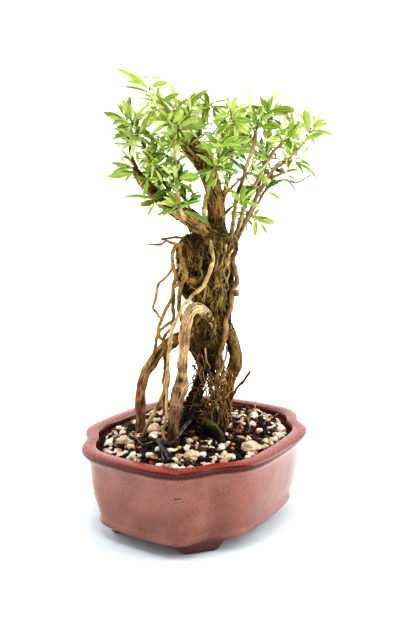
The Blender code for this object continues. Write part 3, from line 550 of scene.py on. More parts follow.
@dataclass
class Pot:
    """The lobed six-inch pot, fired in one piece with its four feet. Millimetres."""

    # A quarter of the lip's plan, from the end of the long axis round to the end of the short one.
    quarter: Rows = numbers("76 0, 75.8 11, 75.1 20, 73.7 27.5, 71 33.3, 66.3 38.3, 60 42.5, 52.8 46.4, "
                            "47 52, 42.2 56.6, 36.5 60.3, 28.5 62.8, 19 64, 9.5 64.4, 0 64.5")
    pinched: int = 7                                # the quarter's knot in the middle of the notch
    body_bottom: float = 11.0
    floor_top: float = 17.2
    foot_levels: tuple[float, float] = (DATUM_UNDER_FEET, 12.9)
    foot_place: tuple[float, float] = (43.6, 29.5)
    foot_turn: tuple[float, float] = (-0.762, 0.647)    # the way that a foot's long side runs
    foot_lengths: tuple[float, float] = (22.0, 40.0)
    foot_widths: tuple[float, float] = (9.0, 13.0)
    hole_place: float = 27.0
    hole_radius: float = 7.5
    corners: int = 192
    crease: float = 38.0                            # degrees; the pot's edges sharper than this stay sharp
    pooled: tuple[float, float] = (53.2, 57.7)      # heights between which the glaze ran dark
    # Each ring: inset from the lip, depth of the corner notch, height.
    outside: Rows = numbers(
        "11.6 2.4 11, 10.7 2.4 11.3, 10.2 2.4 12.3, 10.15 2.4 14.1, 10.5 2.4 15, 10.75 2.4 16, 9.3 2.3 21, "
        "8.3 2.2 24.2, 7.5 2.1 27.5, 6.8 2 31.2, 6.2 1.9 35, 5.8 1.7 38.6, 5.5 1.5 42, 5.35 1.4 44.6, "
        "5.2 1.3 46.8, 4.9 1.2 49, 4.3 1.2 50.6, 3.2 1.15 52.1, 2 1.1 53.5, 0.9 1.1 54.8, 0.2 1 55.7, "
        "0 1 56.4, 0.1 0.95 57, 0.5 0.9 57.6, 1.3 0.8 57.95")
    inside: Rows = numbers(
        "4.6 0.2 58.1, 8 -0.5 58, 9.3 -0.8 57.5, 9.9 -0.9 56.4, 10.7 -0.6 51, 11.6 -0.2 43, 12.6 0.3 35, "
        "14 0.7 26, 15.4 1 19.4, 16.6 1.2 17.6, 18.6 1.5 17.2")

    def outline(self, inset: float, notch: float, height: float) -> list[Vector]:
        """The plan at one height: bulging sides that round off into a notch at each corner.

        Args:
            inset: how far inside the lip's edge, in millimetres.
            notch: how deep each corner is pinched.
            height: above the floor.

        Returns:
            One point for each corner of the ring, in metres, anticlockwise from +X.
        """
        half_x, half_y = self.quarter[0][0], self.quarter[-1][1]
        knots = []
        for i, (x, y) in enumerate(self.quarter):
            outward = Vector((x ** 1.6 / half_x ** 2.6, y ** 1.6 / half_y ** 2.6)).normalized()
            pinch = (notch - 1.0) * math.exp(-((i - self.pinched) / 1.7) ** 2)
            knots.append(Vector((x, y)) - outward * (inset + pinch))
        ring = knots + [Vector((-p.x, p.y)) for p in knots[-2::-1]]
        ring += [Vector((-p.x, -p.y)) for p in knots[1:]] + [Vector((p.x, -p.y)) for p in knots[-2:0:-1]]
        while len(ring) < self.corners:
            finer = []
            for i, here in enumerate(ring):
                before, after, beyond = ring[i - 1], ring[(i + 1) % len(ring)], ring[(i + 2) % len(ring)]
                finer += [here, (9 * (here + after) - before - beyond) / 16]
            ring = finer
        return [Vector((p.x, p.y, height)) * MM for p in ring]

    def throw(self, name: str, rings: Sequence[list[Vector]]) -> bpy.types.Object:
        """Draws a closed body up from a disc, one extruded ring after another.

        Args:
            name: the piece's name.
            rings: equal rings of points in metres, from the underside round to the inside.

        Returns:
            The body, with a face across its first and its last ring.
        """
        body = primitive(bpy.ops.mesh.primitive_circle_add, vertices=len(rings[0]),
                         radius=self.quarter[-1][1] * MM, fill_type="NGON")
        mode("EDIT")
        for i, ring in enumerate(rings):
            if i:
                bpy.ops.mesh.extrude_region_move()
            shape = bmesh.from_edit_mesh(body.data)
            raised = sorted((vert for vert in shape.verts if vert.select),
                            key=lambda vert: math.atan2(vert.co.y, vert.co.x) % math.tau)
            for vert, place in zip(raised, ring):
                vert.co = place
            bmesh.update_edit_mesh(body.data)
        seal()
        return settle(body, name)

    def foot(self, side_x: int, side_y: int) -> bpy.types.Object:
        """One tapered, round-ended foot under a cut-off corner, reaching a little into the body.

        Args:
            side_x: -1 for the left corner, 1 for the right one.
            side_y: -1 for the front, 1 for the back.

        Returns:
            The foot.
        """
        foot = primitive(bpy.ops.mesh.primitive_cube_add, size=1)
        mode("EDIT")
        shape = bmesh.from_edit_mesh(foot.data)
        for vert in shape.verts:
            top = vert.co.z > 0
            vert.co = (vert.co.x * self.foot_lengths[top], vert.co.y * self.foot_widths[top],
                       self.foot_levels[top])
            vert.co *= MM
        # The four upright edges are rounded first, then the edge that runs round the sole.
        sole = (self.foot_levels[0] + 0.1) * MM
        for radius, segments, chosen in ((3.2, 8, lambda low, high: high - low > MM),
                                         (0.9, 3, lambda low, high: high < sole)):
            shape = bmesh.from_edit_mesh(foot.data)
            pick_all(False)
            for edge in [each for each in shape.edges if chosen(*sorted(vert.co.z for vert in each.verts))]:
                edge.select_set(True)
            bmesh.update_edit_mesh(foot.data)
            bpy.ops.mesh.bevel(offset=radius * MM, segments=segments, affect="EDGES", profile=0.5)
        mode("OBJECT")
        foot.rotation_euler.z = math.atan2(self.foot_turn[1] * side_y, self.foot_turn[0] * side_x)
        foot.location = (side_x * self.foot_place[0] * MM, side_y * self.foot_place[1] * MM, 0)
        return settle(foot, "foot")

    def build(self) -> None:
        """The pot: thrown shell, feet grown on, drain holes cut, edges smoothed."""
        pot = self.throw("stoneware_pot", [self.outline(*ring) for ring in self.outside + self.inside])
        middle = (self.floor_top + self.body_bottom) / 2
        for side_x in (-1, 1):
            for side_y in (-1, 1):
                boolean(pot, self.foot(side_x, side_y), "UNION")
            hole = primitive(bpy.ops.mesh.primitive_cylinder_add, vertices=48, radius=self.hole_radius * MM,
                             depth=20 * MM, location=(side_x * self.hole_place * MM, 0, middle * MM))
            boolean(pot, hole, "DIFFERENCE")
        lip = [(height - DATUM_UNDER_FEET) * MM for height in self.pooled]
        glaze = StonewareGlaze().build(lip, (self.body_bottom - DATUM_UNDER_FEET) * MM)
        hand_over(pot, glaze, "glaze", "pot", angle=self.crease)


# ---------------------------------------------------------------- soil and grit

@dataclass(frozen=True)
class Strewn:
    """One kind of grain on the soil: how many, their radii in millimetres, and where they lie."""

    name: str
    count: int
    sizes: tuple[float, float]
    shares: tuple[float, float]                     # how far out they lie, of the way to the wall
    slot: str
    seed: int
    clear: float = 0.0                              # mm that they keep from the middle of the root ball
    angle: float = 28.0                             # degrees; sharper edges stay sharp


@dataclass
class Soil:
    """The potting mix, mounded to the roots, with its loose top dressing. Millimetres."""

    pot: Pot
    reach: tuple[float, float] = (67.0, 55.5)
    edge: float = 52.0
    rise: float = 10.0
    clearance: float = 0.4
    lump: float = 1.3
    crumb: float = 0.7
    steps: int = 46
    wall: float = 0.97                              # the share of the way out where the outermost grains lie
    ball: tuple[float, float] = (3.0, -10.0)        # the root ball's middle, across and in depth
    seed: int = 5

    def share(self, x: float, y: float) -> float:
        """How far out a place in millimetres lies, from 0 in the middle to 1 at the wall."""
        return min(math.hypot(x / self.reach[0], y / self.reach[1]), 1.0)

    def height(self, x: float, y: float) -> float:
        """Height in millimetres of the soil's surface at a place in millimetres."""
        share, place = self.share(x, y), Vector((x, y, 0))
        lumps = self.lump * noise.noise(place / 7) + self.crumb * noise.noise(place / 2.2 + Vector((9, 0, 0)))
        return self.edge + self.rise * (1 - share ** 2) + lumps * (1.0 - 0.6 * share ** 6)

    def ground(self) -> None:
        """The body of soil that fills the pot, with a crumbled surface."""
        rings = [self.pot.outline(inset + self.clearance, notch, height + (0.3 if height < 20 else 0))
                 for inset, notch, height in reversed(self.pot.inside) if height < self.edge]
        rim = self.pot.outline(10.6 + self.clearance, -0.6, self.edge)
        for i in range(self.steps):
            share = (1 - i / self.steps) ** 0.9
            places = [(point.x / MM * share, point.y / MM * share) for point in rim]
            rings.append([Vector((x, y, self.height(x, y))) * MM for x, y in places])
        hand_over(self.pot.throw("potting_soil", rings), POTTING_SOIL.build(), "soil", "soil", angle=60)

    def stone(self, cuts: int, rng: random.Random, squash: float) -> Pattern:
        """An angular grain: a ball of unit radius with flats bisected off it.

        Args:
            cuts: how many flats.
            rng: what they are drawn from.
            squash: its height as a share.

        Returns:
            The grain's shape.
        """
        grain = primitive(bpy.ops.mesh.primitive_ico_sphere_add, subdivisions=2, radius=1)
        mode("EDIT")
        for _ in range(cuts):
            normal = any_way(rng)
            pick_all()
            bpy.ops.mesh.bisect(plane_co=normal * rng.uniform(0.5, 0.82), plane_no=normal, use_fill=True,
                                clear_outer=True)
        seal(0.12)
        grain.scale = (1.15, 0.95, squash)
        return Pattern.of(settle(grain, "grain"))

    def chip(self, rng: random.Random) -> Pattern:
        """A split flake of composted wood, one long.

        Args:
            rng: what its uneven corners are drawn from.

        Returns:
            The flake's shape.
        """
        flake = primitive(bpy.ops.mesh.primitive_cube_add, size=1)
        flake.scale = (1.0, 0.42, 0.16)
        bpy.ops.object.transform_apply(scale=True)
        mode("EDIT")
        bpy.ops.mesh.subdivide(number_cuts=2)
        pick_all()
        bpy.ops.transform.vertex_random(offset=0.06, seed=rng.randrange(1000))
        mode("OBJECT")
        return Pattern.of(settle(flake, "flake"))

    def prill(self) -> Pattern:
        """A round fertiliser bead of unit radius, a little dented."""
        bead = primitive(bpy.ops.mesh.primitive_ico_sphere_add, subdivisions=2, radius=1)
        bead.scale = (1.0, 0.94, 0.9)
        return Pattern.of(settle(bead, "bead"))

    def scatter(self, kind: Strewn, shapes: Sequence[Pattern], finish: bpy.types.Material) -> None:
        """Strews grains over the soil.

        Args:
            kind: what is strewn; small grains are commoner than large ones.
            shapes: the modelled grains to copy.
            finish: their material.
        """
        rng, pile, left = random.Random(kind.seed), Pile(), kind.count
        rim = self.pot.outline(11.6, -0.6, 0)
        ball = tree_mm(*self.ball, 0)
        low, high = kind.sizes
        while left:
            share = math.sqrt(rng.uniform(kind.shares[0] ** 2, kind.shares[1] ** 2))
            place = rng.choice(rim) / MM * share
            size = low + (high - low) * rng.random() ** 2.2
            spot = (place.xy - ball.xy).length
            turn = Matrix.Rotation(rng.uniform(0, math.tau), 4, "Z")
            turn = turn @ Matrix.Rotation(rng.uniform(-0.9, 0.9), 4, "X")
            tone = rng.random()
            if spot < kind.clear:
                continue
            outermost = self.wall - size / 60
            if share > outermost:
                place = place * outermost / share
            place.z = self.height(place.x, place.y) + size * rng.uniform(0.15, 0.55)
            pile.add(rng.choice(shapes), sized(place, turn, size), tone)
            left -= 1
        hand_over(pile.gather(kind.name), finish, kind.slot, angle=kind.angle)

    def cling(self, way: str, shapes: Sequence[Pattern], finish: bpy.types.Material, count: int) -> None:
        """Crumbs that stick to the column of earth under the trunk.

        Args:
            way: the column's places.
            shapes: the modelled grains to copy.
            finish: their material.
            count: how many crumbs.
        """
        rng, pile = random.Random(self.seed + 1), Pile()
        line = samples(way, 1.5)
        for _ in range(count):
            place, radius = rng.choice(line)
            outward = any_way(rng, 0.4)
            place = place + outward * (radius + rng.uniform(-0.3, 0.6))
            turn = Matrix.Rotation(rng.uniform(0, math.tau), 4, outward)
            pile.add(rng.choice(shapes), sized(place, turn, rng.uniform(0.6, 2.0)), rng.random())
        hand_over(pile.gather("root_ball_crumbs"), finish, "soil", angle=28)

    def build(self) -> None:
        """The soil, then every kind of grain that lies on it."""
        rng = random.Random(self.seed)
        self.ground()
        angular = [self.stone(7, rng, 0.8) for _ in range(6)]
        crumbs = [self.stone(4, rng, 0.75) for _ in range(4)]
        earth = Grit("peat crumbs", ((0.0, "#0B0705"), (0.6, "#1E130C"), (1.0, "#463022")), "#080504", 0.8)
        pale = ((0.0, "#B08868"), (0.25, "#DCC0A2"), (0.6, "#F2E2CC"), (1.0, "#FFF8EC"))
        pumice = Grit("graded pumice", pale, "#7A5237", 0.9)
        clay = Grit("fired clay grit", ((0.0, "#963E18"), (0.5, "#D0642A"), (1.0, "#EA9A60")), "#4A2412", 0.7)
        wood = Grit("composted bark", ((0.0, "#2A1A12"), (0.6, "#4F3325"), (1.0, "#7B5940")), "#1A100A", 0.9)
        yellow = Grit("coated fertiliser", ((0.0, "#C9A21B"), (1.0, "#E9CF3E")), "#8A6A14", 2.0, 0.45, 0.2)
        green = Grit("coated fertiliser, green", ((0.0, "#0F4A3A"), (1.0, "#1F6B4E")), "#0C2A22", 2.0, 0.45,
                     0.2)
        peat, stones = earth.build(), pumice.build()
        bead = [self.prill()]
        self.scatter(Strewn("peat_crumbs", 1900, (0.6, 2.4), (0.0, 1.0), "soil", 21), crumbs, peat)
        self.scatter(Strewn("pumice_grit", 370, (1.0, 3.3), (0.3, 1.0), "pumice", 22, 13), angular, stones)
        self.scatter(Strewn("pumice_rim_grit", 240, (1.3, 3.3), (0.82, 1.0), "pumice", 27), angular, stones)
        self.scatter(Strewn("fired_clay_grit", 190, (0.7, 1.9), (0.2, 1.0), "pumice", 23, 9), angular,
                     clay.build())
        self.scatter(Strewn("bark_chips", 90, (3.0, 8.0), (0.25, 0.95), "bark", 24),
                     [self.chip(rng) for _ in range(4)], wood.build())
        self.cling(HEAVY_LIMBS["earth_column"][1], crumbs, peat, 420)
        for colour, count, seed, coat in (("yellow", 22, 25, yellow), ("green", 18, 26, green)):
            prills = Strewn(f"fertiliser_{colour}", count, (1.0, 1.5), (0.3, 0.97), "pumice", seed, 12, 180)
            self.scatter(prills, bead, coat.build())


@dataclass
class Nuggets:
    """The largest pumice stones, each lying in its own dent. Across, depth and size in millimetres."""

    soil: Soil
    places: Rows = numbers("-27 -14 4.6, -2 -50 4.2, 32 -34 4.8, -44 -24 4")

    def build(self) -> None:
        """Models each stone in place, lumpy and pitted."""
        finish = Grit("rough pumice", ((0.0, "#DEC0A6"), (1.0, "#F8EBDD")), "#8A6248", 0.9).build()
        for i, (across, depth, size) in enumerate(self.places):
            place = tree_mm(across, depth, 0)
            share = self.soil.share(place.x, place.y)
            place.z = self.soil.edge + self.soil.rise * (1 - share ** 2) + 0.4 * size
            stone = primitive(bpy.ops.mesh.primitive_ico_sphere_add, subdivisions=5, radius=1)
            for vert in stone.data.vertices:
                way = vert.co.copy()
                lump = 1 + 0.22 * noise.noise(way * 1.7 + Vector((i, 0, 0)))
                rough = 0.07 * noise.noise(way * 5 + Vector((i, 3, 0))) + 0.035 * noise.noise(way * 13)
                vert.co = (place + Vector((way.x * 1.2, way.y, way.z * 0.8)) * size * (lump + rough)) * MM
            settle(stone, f"pumice_stone_{i + 1}")
            hand_over(stone, finish, "pumice", f"pumice_nugget_{i + 1}", angle=60)


# ---------------------------------------------------------------- wood

@dataclass(frozen=True)
class SkinKind:
    """How a limb's bark looks and stands up, from its upper end to its foot. Millimetres."""

    upper: str
    lower: str
    moss: float = 0.0
    ridge: float = 0.3
    width: float = 1.5
    run: float = 8.0
    lump: float = 0.3
    moss_and_light_on_top: float = 0.12             # how much more moss green is laid on upward faces than on the sides: moss, and painted light on the tops


class Skin(Enum):
    """The barks that this tree wears."""

    OLD = SkinKind("#3E2E16", "#241808", 0.24, 1.3, 1.9, 11.0, 0.9)
    RIB = SkinKind("#7A643A", "#4E3C1E", 0.24, 1.1, 1.4, 12.0, 0.5)
    BURL = SkinKind("#6A4A28", "#33220F", 0.24, 1.2, 2.0, 5.0, 1.5)
    FLAKY = SkinKind("#9A7844", "#BC9660", 0.24, 1.6, 1.6, 8.0, 0.5)
    ARCH = SkinKind("#5C4A26", "#D4BA90", 0.2, 0.4, 1.5, 6.0, 0.6)
    FRONT_LEG = SkinKind("#CAA478", "#402614", 0.18, 0.35, 1.7, 10.0, 1.2)
    LEG = SkinKind("#A88C52", "#905E44", 0.24, 0.5, 1.7, 10.0, 1.0)
    DARK_LEG = SkinKind("#7C683A", "#8C6A44", 0.3, 0.9, 1.4, 7.0, 0.7)
    KNOT = SkinKind("#8E6E42", "#A07C4E", 0.1, 0.4, 1.0, 1.5, 0.2)
    EARTH = SkinKind("#2E1E10", "#170E07", 0.08, 1.6, 2.4, 3.0, 1.6)
    MOSSY = SkinKind("#241809", "#1A1108", 0.14, 0.9, 1.8, 5.0, 0.7, 0.46)
    ROOT_CROWN = SkinKind("#7C643A", "#543F20", 0.3, 1.5, 1.5, 3.0, 1.2)
    STRAND_PALE = SkinKind("#BEA26A", "#98804C", 0.08, 0.25, 0.9, 8.0, 0.2)
    STRAND_OLIVE = SkinKind("#806E38", "#685628", 0.24, 0.3, 0.9, 8.0, 0.2)
    STRAND_BROWN = SkinKind("#70522C", "#583E20", 0.14, 0.3, 0.9, 8.0, 0.2)
    STRAND_DARK = SkinKind("#3C2A16", "#281C0E", 0.26, 0.3, 0.9, 8.0, 0.2)
    CROWN = SkinKind("#AE9A6A", "#7E6A40", 0.2, 0.2, 0.9, 5.0, 0.1)
    PALE = SkinKind("#BEA272", "#C8A874", 0.04, 0.12, 1.0, 6.0, 0.12)
    PINK = SkinKind("#987452", "#A8845E", 0.06, 0.14, 1.0, 6.0, 0.15)
    TAN = SkinKind("#A07E4C", "#A6844E", 0.1, 0.12, 0.9, 6.0, 0.12)
    DRY = SkinKind("#7C5A30", "#94703F", 0.05, 0.08, 0.8, 5.0, 0.1)
    MATTED = SkinKind("#3E2B14", "#5C4222", 0.25, 0.05, 0.8, 4.0, 0.1)
    YOUNG_GREY = SkinKind("#8C7250", "#C2A680", 0.06, 0.12, 0.9, 6.0, 0.1)
    YOUNG_PALE = SkinKind("#7E5C38", "#D4DA84", 0.0, 0.08, 0.9, 6.0, 0.1)
    YOUNG_PINK = SkinKind("#DAB890", "#EACEA8", 0.0, 0.08, 0.9, 6.0, 0.1)
    YOUNG_DARK = SkinKind("#523820", "#6E5030", 0.05, 0.1, 0.9, 6.0, 0.1)
    YOUNG_GREEN = SkinKind("#84793A", "#98AE46", 0.0, 0.05, 0.9, 6.0, 0.1)


# The heavy wood, grown as one. Each row of a way: across, depth, up and radius.
HEAVY_LIMBS: dict[str, tuple[Skin, str]] = {
    "bole": (Skin.OLD, "7 4 97 6, 7 1 109 8.5, 8 0 122 10.5, 10 0 136 11.5, 10 0 150 12, 10 0 164 12.6, "
        "11 0 174 12.8, 12 0 179 10, 12 1 182 6"),
    "root_crown": (Skin.ROOT_CROWN, "12 0 181 10.5, 12 0 177 12.6, 12 0 171 12.9"),
    "burl": (Skin.BURL, "2 -3 178 6, -4 -4 172 6.5, -5 -3 163 6, -5 -3 153 5.5, -2 -2 142 5"),
    "front_rib": (Skin.RIB, "14 -10 172 4, 12 -11 158 3.5, 9 -10 142 3.6, 6 -8 126 3.4, 5 -5 108 3"),
    "right_rib": (Skin.RIB, "19.5 -4 172 3.8, 16.5 -6 156 3.6, 14 -7 140 3.6, 12 -6 124 3.4, 10 -4 110 3"),
    "under_arch": (Skin.RIB, "3 -5 142 3.6, 1 -7 131 4.2, -1.2 -8 121 4.2, -1 -8 113 3.5, 1 -7 104 2.4"),
    "back_rib": (Skin.OLD, "12 9 174 5, 12 10 156 5, 11 9 138 5, 9 8 120 4.5, 8 7 104 3"),
    "left_branch": (Skin.FLAKY, "10 0 174 6.5, 4 -2 183 5.6, -2 -3 189 5, -8 -3 193 4.4, -16 -3 198 3.9, "
        "-24 -3 205 3.7, -31 -3 212 3, -35 -3 217 2.2, -37.5 -4 222 1.2"),
    "left_stub": (Skin.FLAKY, "6 -7 183 4, 0 -10 189 4.2, -6 -12 195 3.8"),
    "central_branch": (Skin.FLAKY, "12 2 176 6, 12 2 187 5.5, 12 2 198 5.2, 10 2 210 5, 6 2 221 5.3, "
        "1 2 229 5.6, -4 2 235 5.4, -8 2 240 4.2, -10 2 244 2.2"),
    "arch_root": (Skin.ARCH, "10 -7 118 2.6, 8 -13 130 2.9, 3 -18 137.5 3.2, -2 -21 138 3.4, -6 -24 131 3.2"),
    "front_leg": (Skin.FRONT_LEG, "-4.5 -23 134.5 3.2, -7 -26 122 3.2, -8 -28 108 3.1, -8.5 -30 98 3.4, "
        "-9.5 -31 91 4.2, -11.5 -32.5 83 4.1, -13 -34 72 3.7, -14 -36 60 3.5, -15 -38 47 2.8"),
    "left_leg": (Skin.LEG, "2 4 117 4, -11 2 116.5 3.2, -20 0 111 3, -26 -2 104 3.2, -31.5 -4 95.5 3.6, "
        "-34.5 -6 87 3.1, -35 -8 76 3.1, -35 -9 65 3, -36 -10 55 2.8, -36 -10 46 2.2"),
    "right_leg": (Skin.DARK_LEG, "14 4 130 4.2, 20 8 118 4, 24.5 10 107 4.3, 25 12 96 4.1, 21.5 14 86 3.7, "
        "20 16 78 3.5, 19 18 68 3.6, 19 20 56 3.3, 19 20 47 2.6"),
    "knot": (Skin.KNOT, "-1 -7 153 2.8, -3 -13.5 153 2.6"),
    "earth_column": (Skin.EARTH, "5 -1 100 2.4, 2 -5 91 2.6, -1 -9 81 3.4, -1 -12 73 6.5, 1 -14 63 9.5, "
        "3 -14 48 12"),
    "mossy_root": (Skin.MOSSY, "2 -14 66 4.2, 8 -22 66 3.6, 13 -28 63.5 3.2, 15.5 -32 57 2.8, 16 -33 48 2.4"),
}

# Thinner roots, each drawn on its own.
FINE_LIMBS: dict[str, tuple[Skin, str]] = {
    "right_root": (Skin.PINK, "21 -3 168 1.5, 24.5 -5 158 1.4, 24 -6 150 1.4, 21.5 -7.5 147 1.4, "
        "21.5 -8.5 139 1.4, 18.5 -9 130 1.5, 18 -9 121 1.5, 16 -8 112 1.4, 14.5 -7 102 1.4, 13 -5 93 1.3, "
        "12.5 -4 84 1.3, 15 -2 74 1.3, 16 2 64 1.2, 16 3 50 1.1"),
    "pale_root": (Skin.PALE, "9 -11 178 1.1, 10 -16 167 1.1, 7 -17.5 157 1.15, 4 -18.5 151 1.2, "
        "-1 -21 147 1.05, -6 -24 142 1, -9 -27 137 1, -13 -30 130 1.1, -15 -31 121 1.2, -16 -31 110 1.1, "
        "-17 -30 100 1, -19 -28 90 1.1, -23 -26 80 1, -28 -24 70 1.1, -33 -22 60 1, -34 -22 49 0.9"),
    "pale_branch": (Skin.PALE, "-16 -30.5 102 1.1, -17 -32 91 1, -17 -34 79 1, -19 -37 67 1, -20 -39 48 0.8"),
    "loop_root": (Skin.TAN, "-4 -5 176 1.6, -12 -9 175 1.3, -14.5 -10 168 1.2, -13 -10 158 1.2, "
        "-14 -9 148 1.2, -14 -8 137 1.1, -15 -6 126 1.1, -20 -4 118 1, -22 -2 108 1"),
    "outer_root": (Skin.TAN, "-13.5 -8.5 145 1.1, -18 -11 137 1.1, -22 -11 130 1.1, -24 -10 120 1.1, "
        "-26.5 -7 108 1.1, -28 -3 99 1"),
    "far_loop": (Skin.TAN, "-13 -9.5 163 0.9, -17 -11.5 157.5 0.8, -23 -13 151 0.8, -24 -13 146 0.8, "
        "-26 -12 139 0.8, -24 -11 134 0.7, -22.5 -10.5 131 0.8"),
    "short_link": (Skin.TAN, "-14 -8 129 0.9, -20 -9 125 1, -22.5 -9.5 120 1, -19 -5 112 0.9"),
    "burl_root": (Skin.TAN, "-10 -8 175 1, -9 -11.5 168 1.05, -6 -12.5 160 1.2, -6 -12.5 155 1.1, "
        "-11 -11.5 151.5 1, -14 -10 149 1"),
    "left_tendril": (Skin.TAN, "-10 -9 175 1.1, -17 -14 177.5 0.8, -22 -18 176 0.8, -28 -20 176 0.7"),
    "high_tendril": (Skin.DRY, "-1 -5 176 1.2, -7 -6 179.5 0.8, -14 -8 179.5 0.8, -21 -10 178.5 0.7"),
    "hanging_root": (Skin.TAN, "-7 -6 172 1.6, -9 -10 165 1.5, -7 -11 157 1.6, -9.5 -11 150 1.5, "
        "-10.5 -10 140 1.3, -9 -6 128 1.2, -4 -2 119 1.2"),
    "cut_stub": (Skin.KNOT, "17 -2 148 1.6, 23 -4 145.5 1.9, 26 -5 145.5 1.9"),
    "inner_root": (Skin.DRY, "-8 2 116 1.8, -19 3 106 1.4, -20 5 95 1.4, -21 6 84 1.4, -21 8 72 1.3, "
        "-21 9 50 1.1"),
    "dead_twig": (Skin.DRY, "20 16 68 1.2, 25 12 79 0.8, 30 8 87 0.8, 34 4 94 0.7"),
    "fine_root_a": (Skin.DRY, "2 3 106 1.4, 4 7 92 0.9, 1 10 78 0.9, 4 14 62 0.9, 4 15 50 0.7"),
    "fine_root_b": (Skin.DRY, "8 3 104 1.4, 11 5 92 0.9, 9 7 80 0.9, 12 12 66 0.9, 12 13 50 0.7"),
    "fine_root_c": (Skin.PINK, "12 0 110 1.4, 11 1 98 1, 9 -1 86 0.9, 14 4 74 0.9, 20 6 62 0.8, 20 6 50 0.7"),
}

# The shoots, each with its twigs.
SHOOTS: dict[str, tuple[Skin, Sequence[str]]] = {
    "front_left_shoot": (Skin.YOUNG_PINK, (
        "-6 -12 190 1.4, -9 -15 197 1.25, -11 -16 208 1.15, -12 -18 220 1.1, -12 -20 232 1, -13 -20 242 1, "
        "-13 -20 249 0.9",
        "-13 -20 246 1.1, -18 -22 252 0.9, -22 -24 257 0.9, -25 -26 262 0.8",
        "-13 -20 247 1.1, -12 -17 251 0.9, -11 -14 253 0.9")),
    "front_pale_shoot": (Skin.YOUNG_PALE, (
        "6 -9 186 1.5, 5 -14 196 1.35, 7 -18 207 1.2, 10 -21 216 1.15, 13 -25 225 1, 15 -27 231 0.95, "
        "17 -29 238 0.9, 20 -31 246 0.8",)),
    "right_shoot_a": (Skin.YOUNG_GREY, (
        "20 -4 174 1.44, 22 -7 186 1.36, 23 -9 197 1.28, 25 -10 206 1.2, 28 -12 215 1.2, 31 -13 225 1.12, "
        "34 -14 234 1.12, 35 -14 241 1.04",)),
    "right_shoot_b": (Skin.YOUNG_GREY, (
        "22 1 174 1.44, 25 1 184 1.2, 29 -2 197 1.2, 35 -6 210 1.12, 40 -9 220 1.12, 45 -12 229 1.04, "
        "52 -17 236 0.8",)),
    "right_shoot_c": (Skin.YOUNG_GREY, (
        "23 7 174 1.6, 29 8 185 1.36, 34 7 197 1.28, 39 6 207 1.28, 44 5 216 1.28, 49 4 222 1.04, "
        "58 4 226 0.72",
        "48 4 221 0.96, 55 5 226 0.72, 62 5 232 0.72, 69 5 241 0.64",
        "44 5 215 0.96, 49 3 217 0.72, 53 2 218 0.64",
        "33 7 194 1.04, 37 11 205 0.96, 40 12 216 0.96, 43 12 228 0.88, 44 10 240 0.8, 44 6 251 0.72",
        "43 12 232 0.8, 49 10 240 0.72, 56 5 246 0.64")),
    "right_shoot_d": (Skin.YOUNG_GREY, (
        "21 11 172 1.28, 28 13 183 1.12, 34 14 193 1.04, 40 13 203 0.96, 46 10 211 0.8, 54 9 214 0.64, "
        "63 8 213 0.64, 70 6 217 0.56",)),
    "middle_shoot": (Skin.YOUNG_GREY, (
        "15 8 188 1.04, 17 11 202 0.88, 20 14 214 0.88, 22 16 224 0.8, 23 18 232 0.72",)),
    "left_shoot_a": (Skin.YOUNG_DARK, (
        "-33 -3 214 1.2, -37 -6 224 1.04, -39 -8 231 0.96, -40 -10 238 0.88, -40 -12 244 0.72",)),
    "left_shoot_b": (Skin.YOUNG_DARK, (
        "-29 -4 210 1.04, -28 -9 219 0.88, -28 -12 226 0.88, -30 -14 232 0.72, -32 -16 236 0.72",)),
    "left_shoot_c": (Skin.YOUNG_DARK, (
        "-11 -6 194 1.04, -14 -12 203 0.88, -18 -16 211 0.8, -22 -18 218 0.72, -25 -16 226 0.64",)),
    "crest_shoot": (Skin.YOUNG_GREY, (
        "-2 2 234 1.44, 1 4 241 1.12, 4 5 248 0.96, 8 6 257 0.8",
        "2 4 243 0.96, -2 3 249 0.8, -6 2 254 0.72")),
    "back_left_shoot": (Skin.YOUNG_GREY, (
        "2 6 180 1.28, -4 14 194 1.04, -9 22 208 0.96, -13 28 221 0.88, -15 32 234 0.72",
        "-7 19 203 0.88, -16 24 210 0.72, -24 28 216 0.64")),
    "back_right_shoot": (Skin.YOUNG_GREY, (
        "14 9 182 1.28, 16 17 196 1.04, 18 25 210 0.96, 21 31 224 0.88, 24 36 238 0.72",
        "17 22 204 0.88, 24 27 212 0.72, 32 30 219 0.64")),
}

